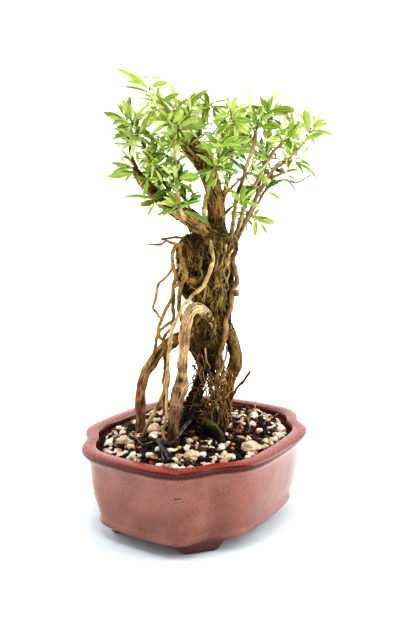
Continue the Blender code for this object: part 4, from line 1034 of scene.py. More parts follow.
# The tufts: where each sits, then the heading in degrees and the length of each of its long leaves.
TUFTS: dict[str, str] = {
    "top_left": "-26 -26 263, 145 24, 165 16, 30 15, 110 10",
    "top_left_low": "-21 -24 256, 100 9, 35 15, 300 8",
    "crest_left": "-11 -14 254, 100 20, 135 12, 40 11, 195 11",
    "crest_mid": "-7 2 255, 10 16, 125 13, 65 13, 50 22, 340 11",
    "crest_peak": "8 6 259, 135 17, 115 11, 180 9, 15 14, 325 11",
    "left_tip": "-40 -12 246, 145 13, 115 9, 40 15, 10 8",
    "left_outer": "-41 -8 236, 145 17, 120 14, 70 9",
    "left_low": "-37 -3 221, 160 16, 180 15, 195 18, 225 11, 125 9",
    "left_inner": "-32 -17 238, 20 14, 165 8, 345 11, 310 10",
    "left_nest": "-27 -17 228, 35 10, 0 13, 310 9, 155 8, 225 8",
    "left_shelf": "-23 -18 220, 15 15, 300 8, 325 11, 140 9",
    "v_top": "-14 -21 246, 145 15, 165 16, 200 11, 60 10",
    "v_side": "-10 -21 243, 310 12, 10 19, 30 13, 225 10",
    "v_pair": "-10 -19 214, 325 12, 5 13, 55 9, 205 7",
    "fork": "-8 -17 197, 160 18, 185 15, 25 13, 335 18, 50 12",
    "left_lone": "-26 -1 202, 170 22, 260 8, 315 8",
    "pale_tip": "20 -32 248, 135 11, 200 11, 350 12, 75 10",
    "pale_middle": "15 -28 231, 5 13, 140 11, 235 9",
    "pale_low": "11 -22 221, 5 20, 325 13, 140 13, 190 13, 235 10",
    "right_a_tip": "35 -14 243, 110 25, 70 12, 130 11, 165 13",
    "right_crown": "44 5 254, 100 12, 75 10, 5 18, 120 11, 165 12",
    "broad_leaves": "41 12 226, 100 16, 60 14, 135 11, 290 10",
    "right_b_tip": "54 -18 237, 345 10, 175 8, 95 9, 230 8",
    "yellow_tip": "57 4 247, 15 11, 330 10, 95 8",
    "right_end": "70 5 243, 125 14, 340 14, 65 8, 290 7",
    "right_c_tip": "60 4 227, 350 11, 335 17, 305 12, 125 12",
    "right_c_low": "54 2 218, 345 8, 310 14, 195 10",
    "right_d_leaf": "43 13 209, 335 11, 60 8, 165 8",
    "right_base": "35 16 192, 340 19, 85 8, 135 9",
    "right_a_middle": "26 -11 200, 70 11, 130 10, 85 16",
    "middle_tip": "23 18 234, 115 11, 40 10, 330 9, 230 9",
    "back_left_tip": "-15 33 236, 100 16, 150 15, 40 15, 10 13, 200 12",
    "back_left_end": "-25 29 217, 160 16, 110 13, 200 12, 60 12",
    "back_right_tip": "24 37 240, 80 16, 130 14, 30 15, 350 14, 170 12",
    "back_right_end": "33 31 220, 20 15, 340 14, 70 13, 120 11",
}
BROAD_TUFTS = ("broad_leaves", "v_pair", "back_left_end")
TONES = {"yellow_tip": 0.85, "top_left": 0.5, "broad_leaves": 0.12, "right_end": 0.75, "right_base": 0.62,
         "left_nest": 0.6}

# Leafy side twigs: where each leaves its shoot, and where it ends.
NESTS: Sequence[str] = (
    "-12 -14 236, -5 -20 248", "4 2 232, 2 -8 240", "8 5 240, 16 -2 250", "12 -20 222, 20 -24 230",
    "24 -10 226, 30 -4 236", "30 -6 236, 26 -14 246", "34 2 236, 36 6 250", "14 10 236, 22 12 250",
    "0 -6 228, -6 -14 234", "-24 -4 206, -20 -10 216", "-16 -4 199, -15 -8 210", "-30 -4 212, -26 -8 224",
    "-12 -18 222, -19 -16 230",
)


def samples(way: str, step: float) -> list[tuple[Vector, float]]:
    """Even samples of the smooth line through a way.

    Args:
        way: its places, each as across, depth, up and radius.
        step: about how far apart the samples are, in millimetres.

    Returns:
        Points in millimetres in the pot's frame, with the radius at each.
    """
    rows = numbers(way)
    points = [tree_mm(*row[:3]) for row in rows]
    line = []
    for i in range(len(points) - 1):
        here, there = points[i], points[i + 1]
        start = (there - points[i - 1]) / 2 if i else there - here
        end = (points[i + 2] - here) / 2 if i + 2 < len(points) else there - here
        count = max(1, round((there - here).length / step))
        for k in range(count):
            t = k / count
            place = ((2 * t ** 3 - 3 * t ** 2 + 1) * here + (t ** 3 - 2 * t ** 2 + t) * start
                     + (3 * t ** 2 - 2 * t ** 3) * there + (t ** 3 - t ** 2) * end)
            line.append((place, rows[i][3] + (rows[i + 1][3] - rows[i][3]) * t))
    return line + [(points[-1], rows[-1][3])]


@dataclass
class Limb:
    """One root, branch or shoot as it grew: the samples of its way and its bark."""

    skin: Skin
    line: list[tuple[Vector, float]]
    shift: float = 0.0

    def __post_init__(self) -> None:
        """Works out the limb's own directions at every sample."""
        self.places = np.array([tuple(place) for place, _ in self.line])
        self.radii = np.array([radius for _, radius in self.line])
        steps = np.linalg.norm(np.diff(self.places, axis=0), axis=1)
        self.run = np.concatenate(([0.0], np.cumsum(steps)))
        ways = np.gradient(self.places, axis=0)
        ways /= np.maximum(np.linalg.norm(ways, axis=1, keepdims=True), 1e-9)
        side = Vector(ways[0]).orthogonal().normalized()
        sides = []
        for way in ways:
            along = Vector(way)
            side = (side - side.dot(along) * along).normalized()
            sides.append(tuple(side))
        self.sides = np.array(sides)
        self.fronts = np.cross(ways, self.sides)
        self.tree = KDTree(len(self.line))
        for i, (place, _) in enumerate(self.line):
            self.tree.insert(place, i)
        self.tree.balance()

    def knuckled(self, rng: random.Random, wander: float, knuckle: float, spacing: float) -> "Limb":
        """The same limb grown less evenly.

        Args:
            rng: what its bends are drawn from.
            wander: how far it strays, in millimetres.
            knuckle: how much thicker it is at its joints, as a share.
            spacing: how far apart the joints are, in millimetres.

        Returns:
            The uneven limb.
        """
        seed = Vector((rng.uniform(0, 90), rng.uniform(0, 90), 0))
        phase = rng.uniform(0, spacing)
        line = []
        for (place, radius), run in zip(self.line, self.run):
            ease = min(1.0, run / 6, (self.run[-1] - run) / 6 + 0.2)
            stray = noise.noise_vector(place / 5 + seed) * wander * ease
            joint = max(0.0, math.cos(math.tau * (run + phase) / spacing)) ** 10
            uneven = 1 + knuckle * joint + 0.16 * noise.noise(place / 3 + seed)
            line.append((place + stray, radius * uneven))
        return Limb(self.skin, line, seed.x)


def tubes(name: str, limbs: Sequence[Limb], resolution: int) -> bpy.types.Object:
    """All limbs as capped tubes in one mesh, drawn as one bevelled curve.

    Args:
        name: the piece's name.
        limbs: what to draw.
        resolution: the curve's bevel resolution; a tube has twice as many sides and four more.

    Returns:
        The mesh object.
    """
    path = primitive(bpy.ops.curve.primitive_nurbs_path_add, location=(0, 0, 0))
    curve = path.data
    curve.splines.clear()
    curve.bevel_depth, curve.bevel_resolution, curve.use_fill_caps = MM, resolution, True
    for limb in limbs:
        spline = curve.splines.new("POLY")
        spline.points.add(len(limb.line) - 1)
        for point, (place, radius) in zip(spline.points, limb.line):
            point.co, point.radius = (*(place * MM), 1.0), radius
    bpy.ops.object.convert(target="MESH")
    mode("EDIT")
    seal(1e-6)
    return settle(path, name)


@dataclass
class Grain:
    """Knows, for any point on the wood, which limb it belongs to and where on it the point lies."""

    limbs: Sequence[Limb]
    margin: float = 4.0                             # mm round a limb in which its skin is looked for
    lump_mm: float = 6.5                            # how wide the lumps are
    weights: tuple[float, float] = (0.68, 0.32)     # of the coarse and the fine ridges
    level: float = 0.55                             # ridges higher than this stand up, lower ones sink in

    def read(self, points: np.ndarray) -> tuple[np.ndarray, np.ndarray]:
        """Finds the nearest limb's skin for every point.

        Args:
            points: n by 3, in millimetres.

        Returns:
            The index of each point's limb, and of the sample on it.
        """
        gap = np.full(len(points), 1e9)
        limb_of, sample_of = np.zeros(len(points), int), np.zeros(len(points), int)
        for index, limb in enumerate(self.limbs):
            reach = limb.radii.max() + self.margin
            low, high = limb.places.min(0) - reach, limb.places.max(0) + reach
            for i in np.flatnonzero(((points > low) & (points < high)).all(1)):
                _, sample, distance = limb.tree.find(points[i])
                if distance - limb.radii[sample] < gap[i]:
                    gap[i] = distance - limb.radii[sample]
                    limb_of[i], sample_of[i] = index, sample
        return limb_of, sample_of

    def carve(self, obj: bpy.types.Object, carved: bool = True) -> None:
        """Raises the bark's ridges and lumps, and paints its attributes.

        Args:
            obj: the wood, at rest at the origin.
            carved: whether its points move, or only its attributes are made.
        """
        mesh = obj.data
        count = len(mesh.vertices)
        points, normals = np.empty(count * 3), np.empty(count * 3)
        mesh.vertices.foreach_get("co", points)
        mesh.vertex_normals.foreach_get("vector", normals)
        points, normals = points.reshape(-1, 3) / MM, normals.reshape(-1, 3)
        rises, reliefs = np.zeros(count), np.zeros(count)
        grains, skins = np.zeros((count, 3)), np.zeros((count, 4))
        colours = [(np.array(linear(limb.skin.value.upper)), np.array(linear(limb.skin.value.lower)))
                   for limb in self.limbs]
        for i, (index, sample) in enumerate(zip(*self.read(points))):
            limb, kind = self.limbs[index], self.limbs[index].skin.value
            away, side, front = points[i] - limb.places[sample], limb.sides[sample], limb.fronts[sample]
            around, radius = math.atan2(away @ front, away @ side), limb.radii[sample]
            round_x, round_y = radius * math.cos(around), radius * math.sin(around)
            along = limb.run[sample] + away @ np.cross(side, front)
            place = Vector((round_x / kind.width, round_y / kind.width, along / kind.run + limb.shift))
            ridge = 1 - 2 * abs(noise.noise(place))
            fine = 1 - 2 * abs(noise.noise(place * 2.3 + Vector((5, 7, 1))))
            relief = self.weights[0] * ridge + self.weights[1] * fine
            lump = noise.noise(Vector(points[i]) / self.lump_mm)
            rises[i] = kind.ridge * (relief - self.level) + kind.lump * lump
            # the ridge height, from which the bark paints shade into its furrows
            reliefs[i] = min(max(0.5 + (relief - 0.35) * 0.8 * min(kind.ridge / 0.5, 1.0), 0.0), 1.0)
            grains[i] = (round_x, round_y, along)
            upper, lower = colours[index]
            share = min(max(limb.run[sample] / limb.run[-1] + 0.3 * lump, 0.0), 1.0)
            skins[i] = upper + (lower - upper) * share
            # Moss in the alpha, more on upward faces and less under them: partly moss, partly painted light
            # on the tops.
            skins[i, 3] = kind.moss + kind.moss_and_light_on_top * normals[i, 2]
        if carved:
            mesh.vertices.foreach_set("co", ((points + normals * rises[:, None]) * MM).ravel())
        for name, kind, item, values in (("skin", "FLOAT_COLOR", "color", skins),
                                         ("grain", "FLOAT_VECTOR", "vector", grains),
                                         ("relief", "FLOAT", "value", reliefs)):
            mesh.attributes.new(name, kind, "POINT").data.foreach_set(item, values.ravel())
        mesh.update()


@dataclass
class Tree:
    """The trunk with its heavy branches and roots, grown as one, and the fine roots that cling to it."""

    soil: Soil
    voxel: float = 0.6
    thickest: float = 24.0                          # no root clings further than this from the trunk's core
    step: float = 1.6                               # between the points of a clinging root
    soil_level: float = 56.0                        # where hanging roots end
    fibre: tuple[int, float] = (7, 1.5)             # how many points a matted fibre has, and how far apart
    seed: int = 8

    def trunk(self) -> bpy.types.Object:
        """The heavy wood: tubes grown into one skin, then carved with bark."""
        limbs = [Limb(skin, samples(way, 1.5), i * 3.7) for i, (skin, way) in enumerate(HEAVY_LIMBS.values())]
        wood = tubes("trunk_bark", limbs, 6)
        pick(wood)
        remesh = wood.modifiers.new("grown together", "REMESH")
        remesh.mode, remesh.voxel_size = "VOXEL", self.voxel * MM
        bpy.ops.object.modifier_apply(modifier=remesh.name)
        Grain(limbs).carve(wood)
        self.surface = BVHTree.FromObject(wood, bpy.context.evaluated_depsgraph_get())
        return wood

    @staticmethod
    def core(up: float) -> Vector:
        """The middle of the leaning trunk at a height, all in millimetres."""
        return tree_mm(12 - 5 * (176 - up) / 80, 0, up)

    def nearest(self, place: Vector) -> tuple[Vector, Vector]:
        """The place on the trunk's skin nearest to one in millimetres, and the way the skin faces there."""
        near, normal = self.surface.find_nearest(place * MM)[:2]
        return near / MM, normal

    def runners(self, count: int, tops: tuple[float, float], bottoms: tuple[float, float],
                radii: tuple[float, float], sink: float, skins: Sequence[Skin],
                rng: random.Random) -> list[Limb]:
        """Roots that run down the trunk, laid on its skin.

        Args:
            count: how many are tried; those that find no skin to lie on are left out.
            tops: lowest and highest start.
            bottoms: lowest and highest end.
            radii: thinnest and thickest, in millimetres.
            sink: how much of its radius a root stands proud of the skin, as a share.
            skins: the barks that it may have.
            rng: what its way is drawn from.

        Returns:
            The roots.
        """
        limbs = []
        for _ in range(count):
            angle = rng.uniform(0, math.tau)
            top, bottom = rng.uniform(*tops), rng.uniform(*bottoms)
            drift, seed, radius = rng.uniform(-0.8, 0.8), rng.uniform(0, 90), rng.uniform(*radii)
            line, up = [], top
            while up > bottom:
                share = (top - up) / (top - bottom)
                turn = angle + drift * share + 0.45 * noise.noise(Vector((seed, up / 11, 0)))
                turn += 0.12 * noise.noise(Vector((seed, up / 3, 5)))
                axis = self.core(up) * MM
                outward = Vector((math.cos(turn), math.sin(turn), 0))
                hit = self.surface.ray_cast(axis, outward)[0]
                if hit and (hit - axis).length < self.thickest * MM:
                    thick = radius * (1 - 0.35 * share) * (1 + 0.5 * noise.noise(Vector((seed, up / 7, 9))))
                    line.append((hit / MM + outward * thick * sink, thick))
                up -= self.step
            if len(line) > 4:
                limbs.append(Limb(rng.choice(skins), line, seed))
        return limbs

    def curl(self, start: Vector, end: Vector, radius: float, wander: float, skin: Skin,
             rng: random.Random, step: float = 2.0) -> Limb:
        """A thin root that wanders from one place to another.

        Args:
            start: where it begins, in the tree's grid.
            end: where it ends.
            radius: how thick it is at its start.
            wander: how far it strays between, in millimetres.
            skin: its bark.
            rng: what its way is drawn from.
            step: how far apart its points are.

        Returns:
            The root.
        """
        count = max(3, int((end - start).length / step))
        seed = Vector((rng.uniform(0, 99), rng.uniform(0, 99), 0))
        line = []
        for i in range(count + 1):
            share = i / count
            place = start.lerp(end, share)
            stray = noise.noise_vector(place / 9 + seed) * wander
            stray += noise.noise_vector(place / 3.4 + seed) * wander / 3
            place = place + stray * math.sin(math.pi * min(share * 1.15, 1.0)) ** 0.6
            line.append((tree_mm(*place), radius * (1 - 0.45 * share)))
        return Limb(skin, line)

    def hanging(self, rng: random.Random) -> list[Limb]:
        """The tangle of thin roots between the trunk's foot and the soil.

        Args:
            rng: what their ways are drawn from.

        Returns:
            The roots.
        """
        limbs = []
        for spans, pull, radii, wander, skins in (
                ("-1 17, -13 -4, 98 114, -7 10, -6 5", 1.0, (0.3, 0.7), 7.0, (Skin.PALE, Skin.TAN, Skin.DRY)),
                ("-3 20, -8 8, 97 112, -6 9, -7 9", 0.9, (0.35, 0.8), 5.5,
                 (Skin.DRY, Skin.TAN, Skin.PINK, Skin.MATTED))):
            for _ in range(16):
                x, y, up, drift_x, drift_y = (rng.uniform(*span) for span in numbers(spans))
                start = Vector((x, y, up))
                end = Vector((start.x * pull + drift_x, start.y + drift_y, self.soil_level))
                skin = rng.choice(skins)
                limbs.append(self.curl(start, end, rng.uniform(*radii), wander, skin, rng))
        for _ in range(70):
            start = Vector((rng.uniform(-4, 22), rng.uniform(-14, 12), rng.uniform(60, 100)))
            end = start + Vector((rng.gauss(0, 9), rng.gauss(0, 7), rng.uniform(-15, 6)))
            skin = rng.choice((Skin.DRY, Skin.TAN, Skin.MATTED))
            limbs.append(self.curl(start, end, rng.uniform(0.18, 0.42), 4.0, skin, rng, self.step))
        return limbs

    def matted(self, rng: random.Random) -> list[Limb]:
        """Short curled fibres: the mossy crown under the shoots, the knotted burl and the earth column.

        Args:
            rng: what their ways are drawn from.

        Returns:
            The fibres.
        """
        zones = (((14, 0, 177), (12, 12, 8), 150, Skin.CROWN), ((-5, -5, 172), (9, 7, 9), 70, Skin.MATTED),
                 ((-6, -7, 166), (8, 6, 14), 110, Skin.DRY),
                 ((-6, -8, 165), (8, 6, 13), 50, Skin.STRAND_PALE),
                 ((8, -6, 122), (9, 9, 14), 80, Skin.STRAND_OLIVE), ((2, -12, 72), (8, 8, 16), 110, Skin.DRY))
        limbs = []
        for centre, spread, count, skin in zones:
            for _ in range(count):
                aim = Vector([c + rng.gauss(0, 0.5) * s for c, s in zip(centre, spread)])
                place, normal = self.nearest(tree_mm(*aim))
                seed = Vector((rng.uniform(0, 99), 0, 0))
                way = across_to(normal, rng.uniform(0, math.tau))
                radius = rng.uniform(0.16, 0.42)
                line = []
                for i in range(self.fibre[0]):
                    line.append((place + normal * radius * 0.8, radius * (1 - 0.1 * i)))
                    way = (way + noise.noise_vector(place / 2.5 + seed) * 0.9).normalized()
                    place, normal = self.nearest(place + way * self.fibre[1])
                    place = place + normal * rng.uniform(0.0, 1.1)
                limbs.append(Limb(skin, line))
        return limbs

    def strips(self, rng: random.Random) -> list[Limb]:
        """Loose strips of old bark that run along the heavy branches.

        Args:
            rng: what their ways are drawn from.

        Returns:
            The strips.
        """
        skins = (Skin.STRAND_PALE, Skin.TAN, Skin.TAN, Skin.STRAND_BROWN, Skin.STRAND_DARK)
        limbs = []
        for name, count in (("left_branch", 110), ("left_stub", 24), ("central_branch", 150)):
            host = Limb(Skin.FLAKY, samples(HEAVY_LIMBS[name][1], 1.5))
            for _ in range(count):
                first, reach = rng.randrange(2, len(host.line) - 5), rng.randint(4, 12)
                turn, seed, radius = rng.uniform(0, math.tau), rng.uniform(0, 90), rng.uniform(0.25, 0.6)
                line = []
                for i in range(first, min(first + reach, len(host.line) - 1)):
                    angle = turn + 0.9 * noise.noise(Vector((seed, i / 4, 0)))
                    out = host.sides[i] * math.cos(angle) + host.fronts[i] * math.sin(angle)
                    near, normal = self.nearest(Vector(host.places[i] + out * host.radii[i]))
                    line.append((near + normal * radius * 0.5, radius * (1 - 0.3 * (i - first) / reach)))
                limbs.append(Limb(rng.choice(skins), line))
        return limbs

    def stems(self, rng: random.Random) -> list[Limb]:
        """Dry stems and needles that lie on the soil or stand in it.

        Args:
            rng: what their ways are drawn from.

        Returns:
            The stems.
        """
        standing = numbers("31 -14 80 6, -38 -24 66 9, -30 -34 64 -8, 38 2 66 14")
        limbs = [self.curl(Vector((across, depth, 53)), Vector((across + lean, depth + 3, up)), 0.55, 4.0,
                           Skin.PALE, rng) for across, depth, up, lean in standing]
        for _ in range(26):
            angle, share = rng.uniform(0, math.tau), rng.uniform(0.3, 0.85)
            x, y = 64 * share * math.cos(angle), 53 * share * math.sin(angle)
            heading, reach = rng.uniform(0, math.tau), rng.uniform(6, 16)
            line = []
            for i in range(6):
                place = Vector((math.cos(heading), math.sin(heading), 0)) * reach * (i / 5 - 0.5)
                place = Vector((x, y, 0)) + place
                place += noise.noise_vector(place / 5) * 1.5
                place.z = self.soil.height(place.x, place.y) + 0.9
                line.append((place, 0.4))
            limbs.append(Limb(rng.choice((Skin.PALE, Skin.DRY)), line))
        return limbs

    def build(self) -> None:
        """The trunk, then its fine roots, the tangle under it and the dry stems."""
        rng = random.Random(self.seed)
        wood = self.trunk()
        thin = [Limb(skin, samples(way, 1.2)).knuckled(rng, 0.8, 0.3, 9.0)
                for skin, way in FINE_LIMBS.values()]
        heavy = (Skin.STRAND_PALE, Skin.STRAND_OLIVE, Skin.STRAND_OLIVE, Skin.STRAND_BROWN, Skin.STRAND_DARK)
        slender = (Skin.TAN, Skin.DRY, Skin.STRAND_PALE, Skin.MATTED)
        strands = self.runners(48, (150, 182), (96, 124), (0.5, 1.15), 0.6, heavy, rng)
        rootlets = self.runners(66, (125, 180), (96, 140), (0.25, 0.55), 1.5, slender, rng)
        groups = (("fine_roots", thin, 3, True), ("trunk_strands", strands, 2, True),
                  ("clinging_roots", rootlets, 1, False), ("hanging_roots", self.hanging(rng), 1, False),
                  ("matted_fibres", self.matted(rng), 0, False), ("dry_stems", self.stems(rng), 1, False),
                  ("bark_strips", self.strips(random.Random(self.seed + 1)), 0, False))
        hand_over(wood, Bark("furrowed bark", streak_mm=0.7).build(), "bark", "trunk_and_roots")
        finish = Bark("thin root bark", contrast=0.6, depth_mm=0.25, streak_mm=0.6).build()
        for name, limbs, resolution, carved in groups:
            roots = tubes(name, limbs, resolution)
            Grain(limbs).carve(roots, carved)
            hand_over(roots, finish, "bark")


@dataclass
class Shoots:
    """The young shoots, knuckled at every joint where a pair of leaves once stood."""

    seed: int = 15

    def build(self) -> dict[str, list[Limb]]:
        """Draws each shoot with its twigs.

        Returns:
            The limbs of each shoot, so that leaves can be set on them.
        """
        rng = random.Random(self.seed)
        finish = Bark("young shoot bark", contrast=0.5, depth_mm=0.2, streak_mm=0.7).build()
        grown = {}
        for name, (skin, ways) in SHOOTS.items():
            limbs = [Limb(skin, samples(way, 1.1)).knuckled(rng, 0.7, 0.35, 7.5) for way in ways]
            shoot = tubes(f"{name}_stem", limbs, 2)
            Grain(limbs).carve(shoot)
            hand_over(shoot, finish, "young_bark", name)
            grown[name] = limbs
        return grown


# ---------------------------------------------------------------- leaves

@dataclass(frozen=True)
class LeafForm:
    """One shape of leaf, one long along +Y, its upper side up. The sizes are shares of its length."""

    width: float
    widest: float
    fold: float
    droop: float
    twist: float
    rows: int = 7
    thickness: float = 0.022

    def model(self) -> Pattern:
        """Shapes the leaf row by row from a small grid, folded along its midrib, and thickens it."""
        leaf = primitive(bpy.ops.mesh.primitive_grid_add, x_subdivisions=2, y_subdivisions=self.rows, size=1,
                         location=(0, 0.5, 0))
        bpy.ops.object.transform_apply(location=True)
        mode("EDIT")
        power = math.log(0.5) / math.log(self.widest)
        for row in range(self.rows + 1):
            t = row / self.rows
            wide = max(self.width * math.sin(math.pi * t ** power) ** 0.85, 0.03 if t < 0.5 else 0.004)
            shape = bmesh.from_edit_mesh(leaf.data)
            pick_all(False)
            line = [vert for vert in shape.verts if abs(vert.co.y - t) < 0.3 / self.rows]
            for vert in line:
                vert.select_set(True)
            bmesh.update_edit_mesh(leaf.data)
            bpy.ops.transform.resize(value=(wide, 1, 1))
            lean = self.twist * (t - 0.3)
            for vert in line:
                fold = abs(vert.co.x) * self.fold + vert.co.x * lean
                vert.co.z = fold - self.droop * t ** 2
                vert.co.y -= 0.4 * self.droop * t ** 3
        mode("OBJECT")
        solidify = leaf.modifiers.new("thickness", "SOLIDIFY")
        solidify.thickness, solidify.offset = self.thickness, 0
        bpy.ops.object.modifier_apply(modifier=solidify.name)
        return Pattern.of(settle(leaf, "leaf"))


class LeafKind(Enum):
    """The leaves of this tree, each kind with its forms."""

    LONG = (LeafForm(0.21, 0.5, 0.4, 0.12, 0.3), LeafForm(0.24, 0.52, 0.3, 0.2, -0.3))
    LANCE = (LeafForm(0.28, 0.5, 0.4, 0.1, 0.3), LeafForm(0.25, 0.52, 0.3, 0.2, -0.3),
             LeafForm(0.29, 0.52, 0.5, 0.02, 0.2))
    BROAD = (LeafForm(0.46, 0.54, 0.3, 0.08, 0.2), LeafForm(0.41, 0.56, 0.4, 0.16, -0.2))
    YOUNG = (LeafForm(0.28, 0.54, 0.7, -0.1, 0.3), LeafForm(0.32, 0.52, 0.6, 0.0, -0.4))


@dataclass
class Foliage:
    """The tufts of leaves, each on its bud, and the pairs of small leaves along the shoots."""

    limbs: dict[str, list[Limb]]
    seed: int = 31
    sprigs: tuple[int, int] = (2, 3)                # how many stand round each bud
    reaches: tuple[float, float] = (3.5, 8.0)
    longest: tuple[float, float] = (10.5, 16.5)
    heart: tuple[float, float, float] = (8.0, 2.0, 205.0)
    lowest: float = 195.0                           # the crown's foot; its leaves are painted paler upwards, as light on the crown's top
    height: float = 70.0                            # of the crown
    bare: float = 208.0                             # below this the shoots' joints bear no leaves
    filling: float = 36.0                           # over how much height they come to bear them all
    top: float = 268.0                              # no leaf but the topmost tuft's own stands higher
    nodding: float = 252.0                          # sprigs of tufts from here up lean down, lower ones up
    narrow: float = 14.0                            # a tuft's leaves longer than this are narrow
    steep: float = 0.85                             # a leaf that rises more than this faces outwards
    palest: float = 0.9

    def __post_init__(self) -> None:
        """Models the shapes of leaf once."""
        self.rng = random.Random(self.seed)
        self.forms = {kind: [form.model() for form in kind.value] for kind in LeafKind}
        self.middle = tree_mm(*self.heart)
        self.twigs: list[Limb] = []

    def tone(self, base: float, gain: float, up: float, spread: float = 0.12) -> float:
        """How pale leaves are: a base, a gain with height up the crown that paints light onto its upper
        leaves, and a spread of chance.
        """
        return base + gain * (up - self.lowest) / self.height + self.rng.gauss(0, spread)

    def leaf(self, pile: Pile, root: Vector, way: Vector, length: float, tone: float, kind: LeafKind) -> None:
        """Sets one leaf.

        Args:
            pile: what it is added to.
            root: where it springs from, in millimetres in the pot's frame.
            way: the direction it grows in.
            length: in millimetres.
            tone: from dark 0 to pale 1.
            kind: which group of forms it is taken from.
        """
        way = way.normalized()
        if kind in (LeafKind.LANCE, LeafKind.YOUNG) and root.z + way.z * length > self.top:
            way = Vector((way.x, way.y, (self.top - root.z) / length)).normalized()
        outward = (root - self.middle).normalized()
        hint = Vector((0, 0, 0.2)) - outward if abs(way.z) > self.steep else UP + outward * -0.25
        up = (hint - hint.dot(way) * way).normalized()
        up = Matrix.Rotation(self.rng.gauss(0, 0.7), 3, way) @ up
        turn = Matrix((way.cross(up), way, up)).transposed().to_4x4()
        pile.add(self.rng.choice(self.forms[kind]), sized(root + way * 0.4, turn, length),
                 min(tone, self.palest))

    def twig(self, root: Vector, tip: Vector, thick: float, skin: Skin) -> None:
        """A slender twig that sags a little between its foot and its tip, all in millimetres.

        Args:
            root: its foot.
            tip: its end.
            thick: its radius at the foot.
            skin: its bark.
        """
        line = []
        for share in (0, 0.25, 0.5, 0.75, 1.0):
            sag = Vector((0, 0, -0.3 * (share - share ** 2) * (tip - root).length))
            line.append((root.lerp(tip, share) + sag, thick * (1 - 0.35 * share)))
        self.twigs.append(Limb(skin, line))

    def sprig(self, pile: Pile, root: Vector, way: Vector, reach: float, longest: float, tone: float) -> None:
        """A short twig with opposite pairs of leaves, each pair turned across the one below it.

        The lowest pairs are long and spread, those at the tip are young, short and steep.

        Args:
            pile: what its leaves are added to.
            root: where the twig springs from, in millimetres in the pot's frame.
            way: the direction it grows in.
            reach: its length in millimetres.
            longest: the length of its lowest leaves.
            tone: of its lowest leaves, from dark 0 to pale 1.
        """
        rng = self.rng
        way = way.normalized()
        tip = root + way * reach
        self.twig(root, tip, 0.45, Skin.YOUNG_GREEN)
        count, turn = rng.choice((2, 3, 3)), rng.uniform(0, math.tau)
        for i in range(count):
            share = i / (count - 1)
            joint = root.lerp(tip, 0.3 + 0.7 * share)
            across = across_to(way, turn + i * math.pi / 2 + rng.gauss(0, 0.3))
            for side in (-across, across):
                length = longest * (1 - 0.4 * share) * rng.uniform(0.85, 1.12)
                out = side + way * (0.3 + share * 1.1 + rng.gauss(0, 0.15)) + Vector((0, 0, 0.12))
                self.leaf(pile, joint + side * 0.3, out, length, tone + 0.18 * share + rng.gauss(0, 0.09),
                          LeafKind.YOUNG if share > 0.7 else LeafKind.LANCE)

    def tuft(self, name: str, place: Sequence[float], leaves: Rows) -> Pile:
        """One tuft: its long leaves as told, and sprigs round the bud.

        Args:
            name: the tuft's name.
            place: where it sits, in the tree's grid.
            leaves: the heading in degrees and the length of each long leaf.

        Returns:
            The leaves.
        """
        rng, pile, root = self.rng, Pile(), tree_mm(*place)
        # Higher tufts start paler: painted light on the crown's top.
        base = TONES.get(name, 0.38 + 0.24 * (place[2] - self.lowest) / self.height)
        kind = LeafKind.BROAD if name in BROAD_TUFTS else LeafKind.LANCE
        for heading, length in leaves:
            angle, lean = math.radians(heading), rng.uniform(-0.5, 0.5)
            way = tree_mm(math.cos(angle) * math.cos(lean), math.sin(lean), math.sin(angle) * math.cos(lean))
            start = root + Vector((rng.uniform(-1, 1), rng.uniform(-1, 1), rng.uniform(-2.2, 0.8)))
            shape = LeafKind.LONG if kind is LeafKind.LANCE and length > self.narrow else kind
            self.leaf(pile, start, way, length * rng.uniform(0.95, 1.05), base + rng.gauss(0, 0.1), shape)
        outward = (root - self.middle).normalized()
        lift = Vector((0, 0, 0.35 if place[2] < self.nodding else -0.45))
        for i in range(rng.randint(*self.sprigs)):
            way = outward * (0.2 if i else 0.9) + lift + any_way(rng) * (1.0 if i else 0.5)
            start = root - outward * (rng.uniform(1.0, 4.0) if i else 0.5)
            self.sprig(pile, start, way, rng.uniform(*self.reaches), rng.uniform(*self.longest),
                       base + rng.gauss(0, 0.14))
        return pile

    def joints(self) -> Pile:
        """Sprigs and opposite pairs of leaves at the joints of the shoots' upper halves.

        Returns:
            The leaves.
        """
        rng, pile = self.rng, Pile()
        for limb in (limb for limbs in self.limbs.values() for limb in limbs):
            run = rng.uniform(2, 6)
            while run < limb.run[-1] - 1:
                sample = int(np.searchsorted(limb.run, run))
                place, radius = limb.line[sample]
                run += rng.uniform(4.5, 7.0)
                if place.z < self.bare or rng.random() > 0.1 + (place.z - self.bare) / self.filling:
                    continue
                along = (limb.line[min(sample + 1, len(limb.line) - 1)][0] - place)
                along = along.normalized() if along.length > 1e-6 else UP
                side = across_to(along, rng.uniform(0, math.tau))
                # Paler higher up: painted light on the crown's top.
                tone = self.tone(0.36, 0.32, place.z)
                if rng.random() < 0.6:
                    self.sprig(pile, place, side + along * rng.uniform(0.3, 0.9), rng.uniform(3.5, 8.0),
                               rng.uniform(8.0, 12.5), tone)
                    continue
                for out in (-side, side):
                    way = out + along * rng.uniform(0.3, 0.9)
                    self.leaf(pile, place + out * radius * 0.6, way, rng.uniform(6, 12), tone,
                              rng.choice((LeafKind.LANCE, LeafKind.YOUNG)))
        return pile

    def nests(self) -> Pile:
        """The leafy side twigs that fill the crown between the shoots.

        Returns:
            The leaves.
        """
        rng, pile = self.rng, Pile()
        for ends in NESTS:
            foot, tip = (tree_mm(*place) for place in numbers(ends))
            self.twig(foot, tip, 0.6, Skin.YOUNG_PALE)
            along = (tip - foot).normalized()
            for share in (0.55, 0.8, 1.0):
                side = across_to(along, rng.uniform(0, math.tau))
                way = along + side * (0.25 if share == 1.0 else 1.3) + Vector((0, 0, 0.25))
                # Paler higher up: painted light on the crown's top.
                tone = self.tone(0.38, 0.3, tip.z)
                self.sprig(pile, foot.lerp(tip, share), way, rng.uniform(4, 8), rng.uniform(9, 13.5), tone)
        return pile

